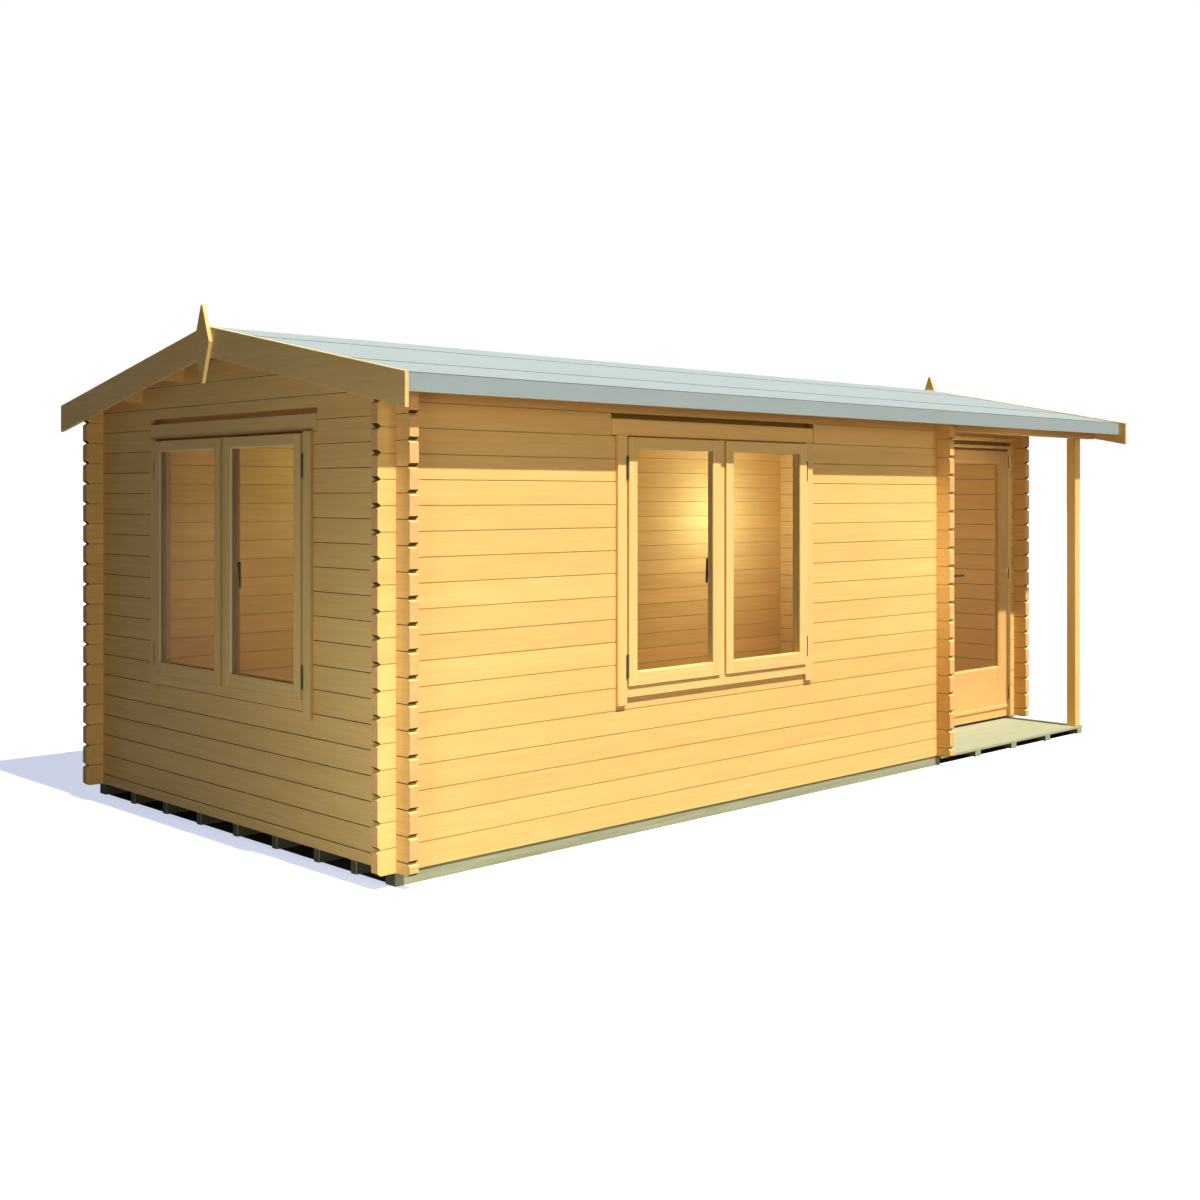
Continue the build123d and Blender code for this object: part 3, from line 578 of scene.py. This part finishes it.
# how far a face's normal points along an axis
square_on, slanting, tapered = 0.9, 0.5, 0.3


def part_of_log(normal, along):
    """Which part of a log a face belongs to."""
    if abs(normal[along]) > square_on:
        return end_grain
    if normal.z < -slanting and abs(normal[along]) > tapered:
        return tip_underside
    if normal.z > slanting and abs(normal[1 - along]) > slanting:
        return joint
    return side_of_log


for node in log_nodes:
    along = 1 if "gable" in node or "side" in node else 0
    work = merged_copy(node)
    for group in separate_solids(work):
        work.edges.index_update()
        soften(work, along_edges(group, along), log_edge)
    store_grain(work, node, lie=along)
    piece = dress(add_object(f"{node}_timber", work), node, "pine")
    # The gables stand in shade, so their joints get the near-black painted shade instead of the joint finish.
    for finish in ("log_tip_shade" if "gable" in node else "log_joint", "log_tip_shade", "log_end"):
        piece.data.materials.append(finishes[finish])
    parts = [part_of_log(face.normal, along) for face in piece.data.polygons]
    # The porch side wall's tips stand in sun, so their undersides get the joint finish, not the painted
    # shade.
    if node == "porch_side_wall":
        parts = [joint if part == tip_underside else part for part in parts]
    piece.data.polygons.foreach_set("material_index", parts)
    print(node, "joint faces", parts.count(joint))

# %% [markdown]
# ## Joinery
# Frames, casements, doors, trim boards and barge boards are planed, and a hand plane takes their sharp
# corners off by a millimetre or two. That thin edge is bright in the sun, and tells wood from cardboard.
# Deep in the gaps over doors and casements, faces that look outwards get a darker finish as painted shade,
# darker still above the front window's casements, and the forward-facing sides of the gable window's boards
# get painted shade too.

# %% Soften the joinery
joinery = {"porch_post": 0.004, "door_frame": 0.0015, "door_trim": 0.002, "purlins": 0.002,
           "eaves_boards": 0.0015, "left_barge_boards": 0.002, "right_barge_boards": 0.002, "finials": 0.002}
for window in ("front_window", "gable_window"):
    joinery.update({f"{window}_frame": 0.0012, f"{window}_trim": 0.002, f"{window}_casements": 0.0015})
leaf_edge = 0.0015
gap_depth, head_shade = 0.008, 0.03
forward = 0.6
planed, gap_painted_shade, reveal_painted_shade, bead_painted_light = range(4)
slot_of = {entry["node"]: entry["material_slot"] for entry in frame["record"]["subparts"]}
door_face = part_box("door_wall_over")[0][1]
wall_faces = {"door_frame": (1, door_face), "door_trim": (1, door_face),
              "front_window_frame": (1, near_corner.y), "front_window_trim": (1, near_corner.y),
              "gable_window_frame": (0, near_corner.x)}
# Above this height the gaps at the front window get the darker painted shade.
front_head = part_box("front_window_casements")[1][2] - head_shade


def shade_gaps(piece, axis, wall_face, head):
    """Paint shade on faces that look outwards from a gap, darkest above head."""
    for face in piece.data.polygons:
        if face.center[axis] > wall_face + gap_depth and face.normal[axis] < -square_on:
            face.material_index = reveal_painted_shade if face.center.z > head else gap_painted_shade


pieces = {}
for node, edge in joinery.items():
    piece = pieces[node] = timber(node, slot_of[node], edge)
    if "window" in node:
        extra = ("gap_shade", "reveal_shade", "bead_highlight")
    else:
        extra = ("gap_shade",) if node in wall_faces else ()
    for finish in extra:
        piece.data.materials.append(finishes[finish])
    if node in wall_faces:
        shade_gaps(piece, *wall_faces[node], front_head if "front" in node else math.inf)
    # The forward-facing sides of the gable window's boards get painted shade.
    if "gable_window" in node:
        for face in piece.data.polygons:
            if face.normal.y < -forward:
                face.material_index = gap_painted_shade
for side in ("left", "right"):
    leaf = timber(f"{side}_door_leaf", "pine_trim", leaf_edge, body=f"{side}_door")
    leaf.data.materials[0] = finishes["door_pine"]
print("joinery pieces", len(pieces) + 2)

# %% [markdown]
# ## Beads round the panes
# A pane sits in a rebate, and a small sloping bead leads from the casement's face to the glass. Light catches
# the bead and draws a light line round each pane, so the beads get a pale finish, a painted highlight; on the
# gable the sides behind the glass and the upward bevels get painted shade. Here the beads are the casements'
# own sloping faces, so they are found by place and by slope: beside a pane's box, and about halfway between
# flat and upright. Faces picked by hand would be lost with the next change of shape.

# %% Pick out the beads and the dark sides round the panes
pane_margin = 0.002


def beside_pane(centre, across, panes):
    """Whether a point lies within the height and the width of a pane; across is the axis of its width."""
    return any(all(low[axis] - pane_margin < centre[axis] < high[axis] + pane_margin for axis in (across, 2))
               for low, high in panes)


for window, inward in (("front_window", 1), ("gable_window", 0)):
    gable = window == "gable_window"
    panes = boxes_of(f"{window}_glass")
    faces = [face for face in pieces[f"{window}_casements"].data.polygons
             if beside_pane(face.center, 1 - inward, panes)]
    for face in faces:
        normal = face.normal
        sloping = slanting < abs(normal[inward]) < square_on
        # Downward bevels, and on the gable forward ones, get the painted highlight; on the gable the sides
        # behind the glass and the upward bevels get painted shade.
        if sloping and (normal.z < -slanting or gable and normal.y < -slanting):
            face.material_index = bead_painted_light
        elif gable and (normal.y < -square_on or sloping and normal.z > slanting):
            face.material_index = reveal_painted_shade
    print(window, "bead faces", sum(face.material_index == bead_painted_light for face in faces))

# %% [markdown]
# ## Treated timber
# Bearers, joists and deck stand near wet ground, so they are pressure treated and come rough from the saw:
# their relief is deeper and they shine less. Their ends, and the sides that look forward from under the
# floor, lie in deep shade, and a near-black finish paints that shade in.

# %% Dress the bearers and the deck
bearer_edge = 0.002
treated_nodes = ("outer_bearers", "inner_bearers", "porch_joists", "porch_deck")
for node in treated_nodes:
    piece = timber(node, slot_of[node], bearer_edge)
    if "bearers" in node:
        piece.data.materials.append(finishes["bearer_shade"])
        for face in piece.data.polygons:
            looks_forward = face.normal.y < -square_on and (node == "inner_bearers" or face.center.y > 0)
            face.material_index = int(abs(face.normal.x) > square_on or looks_forward)
print("treated pieces", len(treated_nodes))

# %% [markdown]
# ## Roof boards
# The roof is closed with tongue-and-groove boards that run from ridge to eaves. In the CAD model each slope
# is one slab, which is all its weight needs. From below and from inside the joints show, so here each board
# is a box of its own: a cube is scaled to a flat board, its long edges are bevelled, and then the whole row
# is sheared to the slope.

# %% Lay the roof boards
roof_pitch = math.radians(11.1)
board_cover, board_thickness, board_edge, joint_gap = 0.0885, 0.019, 0.0022, 0.0006


def board_row(name, low, high, thickness, slope, lift):
    """Boards side by side along X, sheared along Y and lifted."""
    work = bmesh.new()
    count = max(1, round((high[0] - low[0]) / board_cover))
    width = (high[0] - low[0]) / count
    for number in range(count):
        made = bmesh.ops.create_cube(work, size=1.0)["verts"]
        middle = (low[0] + width * (number + 0.5), (low[1] + high[1]) / 2, low[2] + thickness / 2)
        bmesh.ops.scale(work, vec=(width - joint_gap, high[1] - low[1], thickness), verts=made)
        bmesh.ops.translate(work, vec=middle, verts=made)
        long_edges = [line for line in edges_of(made)
                      if abs((line.verts[0].co - line.verts[1].co).y) > thickness]
        soften(work, long_edges, board_edge)
    shear = Matrix(((1, 0, 0, 0), (0, 1, 0, 0), (0, slope, 1, lift), (0, 0, 0, 1)))
    bmesh.ops.transform(work, matrix=shear, verts=work.verts)
    store_grain(work, name, lie=1)
    return add_object(name, work)


rise = math.tan(roof_pitch)
upright_thickness = board_thickness / math.cos(roof_pitch)
for name, side in (("front", -1), ("back", 1)):
    low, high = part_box(f"roof_boards_{name}")
    near, far = sorted((abs(low[1]), abs(high[1])))
    foot = (low[0], min(side * near, side * far), 0.0)
    top = (high[0], max(side * near, side * far), 0.0)
    piece = board_row(f"roof_boards_{name}_laid", foot, top, upright_thickness, slope=-side * rise,
                      lift=high[2] - upright_thickness + rise * near)
    dress(piece, f"roof_boards_{name}", "roof_board")
    print("roof boards", name, len(piece.data.polygons))

# %% [markdown]
# ## Floorboards
# The floor is the same kind of board. It has cut-outs round the porch corner, so boxes would need trimming.
# It is simpler to copy the CAD floor and slice it with bisect_plane at every joint, then take out the thin
# strip between two cuts and close the openings that it leaves.

# %% Slice the floor into boards
floor_cover = 0.088
half_joint = 0.0008

low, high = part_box("floor")
count = round((high[1] - low[1]) / floor_cover)
floor_work = merged_copy("floor")
for number in range(1, count):
    middle = low[1] + (high[1] - low[1]) * number / count
    for place in (middle - half_joint, middle + half_joint):
        geometry = floor_work.verts[:] + floor_work.edges[:] + floor_work.faces[:]
        bmesh.ops.bisect_plane(floor_work, geom=geometry, plane_co=(0, place, 0), plane_no=(0, 1, 0))
    strip = [face for face in floor_work.faces
             if abs(face.calc_center_median().y - middle) < half_joint]
    bmesh.ops.delete(floor_work, geom=strip, context="FACES")
openings = [line for line in floor_work.edges if line.is_boundary]
bmesh.ops.holes_fill(floor_work, edges=openings, sides=0)
bmesh.ops.recalc_face_normals(floor_work, faces=floor_work.faces)
store_grain(floor_work, "floor", lie=0)
floor_piece = dress(add_object("floor_laid", floor_work), "floor", "floor_board")
print("floorboards", count, "faces", len(floor_piece.data.polygons))

# %% [markdown]
# ## Roofing felt
# Green mineral felt is bitumen sheet rolled in crushed slate. From a few metres it is a flat grey-green;
# close to, it is gritty and blotched. The grit is fine noise in colour and in relief. Object coordinates
# are enough here, because grit has no direction. At each lap the cut edge shows the black bitumen.

# %% Dress the felt
grit_scale, blotch_scale, streak_scale = 420, 2.4, (0.6, 5, 5)
grit_range, grit_share, blotch_share, streak_share = (0.3, 0.7), 0.8, (-0.15, 0.2), (-0.1, 0.1)
felt_roughness, grit_relief = (0.82, 0.98), 0.0008
lap_area = 0.05


def felt_finish(name, pale, deep):
    """Gritty mineral felt."""
    tree, shader = new_finish(name)
    place = object_place(tree)
    grit = noise(tree, place, grit_scale, rough=0.7)
    blotch = noise(tree, place, blotch_scale, detail=3, rough=0.55)
    streak = noise(tree, mapped(tree, place, streak_scale))
    share = math_node(tree, "ADD", ranged(tree, grit, 0.0, grit_share, *grit_range),
                      ranged(tree, blotch, *blotch_share))
    share = math_node(tree, "ADD", share, ranged(tree, streak, *streak_share))
    tree.links.new(blended(tree, share, (*pale, 1), (*deep, 1)), shader.inputs["Base Color"])
    tree.links.new(ranged(tree, grit, *felt_roughness), shader.inputs["Roughness"])
    add_bump(tree, shader, grit, grit_relief)


felt_finish("felt", (0.325, 0.39, 0.40), (0.24, 0.295, 0.30))
felt_finish("bitumen", (0.10, 0.12, 0.115), (0.05, 0.06, 0.055))
for side in ("front", "back"):
    node = f"roof_felt_{side}"
    piece = dress(add_object(f"{node}_laid", merged_copy(node)), node, "felt")
    piece.data.materials.append(finishes["bitumen"])
    for face in piece.data.polygons:
        face.material_index = int(abs(face.normal.y) > square_on and face.area < lap_area)
    print(node, "lap faces", sum(face.material_index for face in piece.data.polygons))

# %% [markdown]
# ## Glass
# A pane has to mirror a little, show the room behind it, and let the sun in. Real glass does the last by
# bending light through itself, which takes a renderer very long to find. So lamp rays and bounced light
# meet a Transparent shader instead, and only the viewer's rays meet the real glass.

# %% Glaze the windows
pane_settings = {"Base Color": (0.97, 0.99, 0.98, 1), "Transmission Weight": 1.0, "Roughness": 0.0,
                 "IOR": 1.07}
open_colour = (0.93, 0.95, 0.94)
glass_nodes = ("front_window_glass", "gable_window_glass", "left_door_glass", "right_door_glass")


def put_finish(node, finish):
    """Give a CAD node that keeps its own shape a finish."""
    slots = frame["nodes"][node].data.materials
    slots.clear()
    slots.append(finishes[finish])


tree, shader = new_finish("glass")
for key, value in pane_settings.items():
    shader.inputs[key].default_value = value
path = add_node(tree, "ShaderNodeLightPath").outputs
lets_through = math_node(tree, "MAXIMUM", path["Is Shadow Ray"], path["Is Diffuse Ray"])
open_air = tinted(tree, "ShaderNodeBsdfTransparent", open_colour)
pane = either_shader(tree, lets_through, shader.outputs[0], open_air)
tree.links.new(pane, tree.nodes["Material Output"].inputs[0])
for node in glass_nodes:
    put_finish(node, "glass")
print("panes of glass in", len(glass_nodes), "nodes")

# %% [markdown]
# ## Metal
# Window hinges are blackened steel, satin and a little uneven. Door hinges are zinc plated and passivated,
# which leaves a soft yellow that hides well on pine. Handles and the threshold are painted near black.
# Paint and plating are never even, so slow noise moves their colour and shine a little.

# %% Mix the metal finishes
cloud_scale, fine_scale = 60, 720
cloud_shade, shinier, duller = 0.8, 0.07, 0.10
metal_relief = 0.00008


def metal_finish(name, colour, metallic, rough, shine=0.5):
    """Metal with small, slow changes in its shine."""
    tree, shader = new_finish(name)
    place = object_place(tree)
    cloud = noise(tree, place, cloud_scale, detail=3, rough=0.6)
    fine = noise(tree, place, fine_scale, rough=0.6)
    darker = tuple(value * cloud_shade for value in colour)
    tree.links.new(blended(tree, cloud, (*colour, 1), (*darker, 1)), shader.inputs["Base Color"])
    tree.links.new(ranged(tree, cloud, rough - shinier, rough + duller), shader.inputs["Roughness"])
    shader.inputs["Metallic"].default_value = metallic
    shader.inputs["Specular IOR Level"].default_value = shine
    add_bump(tree, shader, fine, metal_relief)


metal_finish("hinge_steel", (0.10, 0.095, 0.07), metallic=0.0, rough=0.6, shine=0.12)
metal_finish("yellow_zinc", (0.50, 0.33, 0.12), metallic=0.7, rough=0.5)
metal_finish("dark_metal", (0.022, 0.018, 0.014), metallic=0.0, rough=0.45, shine=0.3)
put_finish("door_threshold", "dark_metal")
print("finishes", len(finishes))

# %% [markdown]
# ## Bars, plates and barrels
# Pressed and cast metal has no sharp corners. Each fitting is built up where the CAD model has it: a cube
# is scaled to a plate and bevelled all round, and a cylinder becomes a barrel. Curves would give round bars
# too, but a bevelled primitive keeps its flat ends and its exact size.

# %% Shape plates and rods
rod_sides = 20


def plate(work, first, second, edge, segments=2):
    """A bevelled bar between two opposite corners."""
    made = bmesh.ops.create_cube(work, size=1.0)["verts"]
    low, high = extent((first, second))
    bmesh.ops.scale(work, vec=high - low, verts=made)
    bmesh.ops.translate(work, vec=(low + high) / 2, verts=made)
    soften(work, edges_of(made), edge, segments)


def rod(work, start, end, radius, edge, sides=rod_sides, far_radius=None):
    """A round bar from start to end with bevelled rims."""
    start, end = Vector(start), Vector(end)
    made = bmesh.ops.create_cone(work, cap_ends=True, cap_tris=False, segments=sides, radius1=radius,
                                 radius2=far_radius or radius, depth=(end - start).length)["verts"]
    turn = (end - start).to_track_quat("Z", "Y").to_matrix()
    bmesh.ops.rotate(work, matrix=turn, verts=made)
    bmesh.ops.translate(work, vec=(start + end) / 2, verts=made)
    caps = {face for vert in made for face in vert.link_faces if len(face.verts) == sides}
    rims = {line for face in caps for line in face.edges}
    soften(work, sorted(rims, key=lambda line: line.index), edge, 2)


def finish_fitting(name, work, node, finish, body="cabin", slot=None):
    """Turn finished metalwork the right way out and let it stand for its node."""
    bmesh.ops.recalc_face_normals(work, faces=work.faces)
    piece = dress(add_object(name, work), node, slot or finish, body)
    piece.data.materials[0] = finishes[finish]
    return piece


print("rods have", rod_sides, "sides")

# %% [markdown]
# ## Window hinges and handles
# A casement hangs on barrel hinges, and from outside only the barrels show: three knuckles with a hair of
# space between them, and a domed cap at each end. The handle is inside, a lever on a flat rose, and through
# the glass it shows as a slim dark bar that leans a little. It is shaped in its CAD box, mirrored on the
# gable, whose handle belongs on the other casement of the pair.

# %% Shape the window hinges and handles
window_barrel, knuckles, knuckle_gap, knuckle_edge = 0.005, 3, 0.0009, 0.0009
cap_height, cap_base, cap_tip, cap_edge = 0.45, 0.8, 0.55, 0.0012
handle_depth, handle_margin = 0.02, 1e-4
rose_height, rose_depth, rose_edge = 0.065, 0.006, 0.0015
spindle_drop, spindle_radius, spindle_edge = 0.018, 0.0065, 0.001
lever_half, lever_depth, lever_foot, lever_top, lever_edge = 0.0075, 0.0095, 0.016, 0.004, 0.003
lever_taper, lever_lean, lever_belly = 0.35, 0.012, 0.006


def knuckled_barrel(work, middle, low, high, radius):
    """A standing hinge barrel: knuckles with fine gaps between, and a domed cap at each free end."""
    cap = radius * cap_height
    length = (high - low - 2 * cap) / knuckles
    for number in range(knuckles):
        foot = low + cap + number * length
        rod(work, (*middle, foot), (*middle, foot + length - knuckle_gap), radius, knuckle_edge)
    for base, tip in ((low + cap, low), (high - cap - knuckle_gap, high)):
        rod(work, (*middle, base), (*middle, tip), radius * cap_base, cap_edge, far_radius=radius * cap_tip)


def window_handle(work, low, high, inward):
    """A lever handle in its CAD box; inward is the axis that points into the room."""
    along = 1 - inward
    span = high - low
    half, centre = span[along] / 2, (low[along] + high[along]) / 2

    def corner(side, depth, height):
        point = Vector((0, 0, height))
        point[along], point[inward] = centre + side, low[inward] + depth
        return point

    spindle = high.z - spindle_drop
    plate(work, corner(-half, 0, high.z - rose_height), corner(half, rose_depth, high.z), rose_edge)
    rod(work, corner(0, rose_depth, spindle), corner(0, span[inward] - lever_top, spindle), spindle_radius,
        spindle_edge)
    before = set(work.verts)
    plate(work, corner(-lever_half, span[inward] - lever_depth, low.z + lever_foot),
          corner(lever_half, span[inward], high.z - lever_top), lever_edge, segments=3)
    for vert in set(work.verts) - before:
        share = (high.z - vert.co.z) / span.z
        vert.co[along] += (centre - vert.co[along]) * lever_taper * share - lever_lean * share ** 2
        vert.co[inward] -= lever_belly * math.sin(math.pi * min(1.0, share))


for window, inward in (("front_window", 1), ("gable_window", 0)):
    node = f"{window}_fittings"
    work = bmesh.new()
    for low, high in boxes_of(node):
        if high[inward] - low[inward] > handle_depth:
            if window == "gable_window":
                both_sides = sum(corner[1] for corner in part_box(node))
                low.y, high.y = both_sides - high.y, both_sides - low.y
            handle_low, handle_high = low, high
        else:
            middle = (low + high) / 2
            middle[inward] = high[inward] - window_barrel
            knuckled_barrel(work, middle[:2], low.z, high.z, window_barrel)
    window_handle(work, handle_low, handle_high, inward)
    piece = finish_fitting(f"{window}_ironmongery", work, node, "hinge_steel")
    piece.data.materials.append(finishes["dark_metal"])
    for face in piece.data.polygons:
        face.material_index = int(face.center[inward] > handle_low[inward] - handle_margin)
    print(node, "faces", len(piece.data.polygons))

# %% [markdown]
# ## Door hinges
# The door hangs on lift-off hinges: the leaf's half drops over a pin that stands on the frame's half. The
# two halves must stay apart by a hair, or the leaf could not turn. The leaf's barrel is therefore a real
# tube: a rectangle is spun right round its axis, which leaves the bore open. Screw heads are low domes: a
# slot half a millimetre wide would never be seen.

# %% Shape the leaves' hinge halves
barrel_radius, barrel_height, barrel_steps, barrel_edge = 0.007, 0.044, 24, 0.0008
bore_radius = 0.0041
flap_thickness, flap_start, flap_reach, flap_edge = 0.0025, 0.004, 0.034, 0.0006
screw_radius, screw_top, screw_rise, screw_place, screw_edge = 0.0035, 0.0021, 0.0012, 0.023, 0.0004


def tube(work, axis_x, axis_y, low, high):
    """A hollow barrel: a rectangle spun round a standing axis."""
    ring = bmesh.ops.create_circle(work, cap_ends=False, segments=4, radius=1.0)["verts"]
    bmesh.ops.rotate(work, matrix=Matrix.Rotation(math.radians(45), 3, "Z"), verts=ring)
    bmesh.ops.rotate(work, matrix=Matrix.Rotation(math.radians(90), 3, "X"), verts=ring)
    side = math.sqrt(2)
    wall, middle = barrel_radius - bore_radius, (barrel_radius + bore_radius) / 2
    bmesh.ops.scale(work, vec=(wall / side, 1, (high - low) / side), verts=ring)
    bmesh.ops.translate(work, vec=(axis_x + middle, axis_y, (low + high) / 2), verts=ring)
    bmesh.ops.spin(work, geom=list(ring) + edges_of(ring), cent=(axis_x, axis_y, 0), axis=(0, 0, 1),
                   dvec=(0, 0, 0), angle=2 * math.pi, steps=barrel_steps, use_merge=True, use_duplicate=False)


def flap(work, axis_x, back, low, high, out):
    """The flat half of a hinge, with two screw heads; it points away from the barrel."""
    front = back - flap_thickness
    plate(work, (axis_x + out * flap_start, front, low), (axis_x + out * flap_reach, back, high), flap_edge,
          segments=1)
    for share in (0.25, 0.75):
        x, z = axis_x + out * screw_place, low + (high - low) * share
        rod(work, (x, front, z), (x, front - screw_rise, z), screw_radius, screw_edge, sides=12,
            far_radius=screw_top)


for side, out in (("left", -1), ("right", 1)):
    node = f"{side}_door_knuckles"
    work = bmesh.new()
    for low, high in boxes_of(node):
        axis_x, axis_y = (high.x if out > 0 else low.x) - out * barrel_radius, low.y + barrel_radius
        tube(work, axis_x, axis_y, low.z, high.z)
        flap(work, axis_x, high.y, low.z, high.z, -out)
    finish_fitting(f"{side}_door_hinge_halves", work, node, "yellow_zinc", f"{side}_door", "hinge_steel")
    print(node, "shaped")

# %% Shape the frame's hinge halves
pin_radius, pin_root, pin_edge = 0.0039, 0.001, 0.0006
web_half, web_edge = 0.002, 0.0004

work = bmesh.new()
door_middle = sum(corner[0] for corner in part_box("door_frame")) / 2
for low, high in boxes_of("door_hinge_pins"):
    out = 1 if (low.x + high.x) / 2 > door_middle else -1
    axis_x, axis_y = (low.x if out > 0 else high.x) + out * barrel_radius, low.y + barrel_radius
    top = low.z + barrel_height
    rod(work, (axis_x, axis_y, low.z), (axis_x, axis_y, top), barrel_radius, barrel_edge, sides=barrel_steps)
    rod(work, (axis_x, axis_y, top - pin_root), (axis_x, axis_y, high.z), pin_radius, pin_edge, sides=16)
    plate(work, (axis_x - web_half, axis_y, low.z), (axis_x + web_half, high.y, top), web_edge, segments=1)
    flap(work, axis_x, high.y, low.z, top, out)
finish_fitting("door_hinge_frame_halves", work, "door_hinge_pins", "yellow_zinc", slot="hinge_steel")
print("door_hinge_pins shaped")

# %% [markdown]
# ## Door levers
# Each lever turns in a round collar on a long back plate, which also has the keyhole's boss. The grip is a
# bar with soft corners whose end is drawn in and bent back towards the door, so that no sleeve catches on
# it.

# %% Shape the levers
pivot_side, pivot_drop = 0.018, 0.040
back_plate, back_plate_edge = 0.005, 0.0018
# height above the pivot, near and far depth, radius, sides: collar, neck and keyhole boss
round_parts = ((0, 0.004, 0.009, 0.013, 28), (0, 0.005, 0.046, 0.0075, 20),
               (-0.072, 0.004, 0.008, 0.0085, 20))
round_edge = 0.001
grip_start, grip_near, grip_far, grip_half, grip_edge = 0.008, 0.039, 0.052, 0.009, 0.004
grip_taper, grip_bend = 0.25, 0.006

work = bmesh.new()
leaf_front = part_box("right_door_leaf")[0][1]
for low, high in boxes_of("right_door_levers"):
    surface, away = (high.y, -1) if low.y < leaf_front else (low.y, 1)
    pivot_x, pivot_z = low.x + pivot_side, high.z - pivot_drop

    def reach(x, depth, z):
        return (pivot_x + x, surface + away * depth, pivot_z + z)

    plate(work, reach(-pivot_side, 0, low.z - pivot_z), reach(pivot_side, back_plate, pivot_drop),
          back_plate_edge)
    for height, near, far, radius, sides in round_parts:
        rod(work, reach(0, near, height), reach(0, far, height), radius, round_edge, sides)
    before = set(work.verts)
    grip_end = high.x - pivot_x
    plate(work, reach(-grip_start, grip_near, -grip_half), reach(grip_end, grip_far, grip_half), grip_edge,
          segments=3)
    for vert in set(work.verts) - before:
        share = max(0.0, (vert.co.x - pivot_x) / grip_end)
        vert.co.z -= (vert.co.z - pivot_z) * grip_taper * share
        vert.co.y -= away * grip_bend * share ** 2
finish_fitting("right_door_handles", work, "right_door_levers", "dark_metal", "right_door")
print("levers shaped")
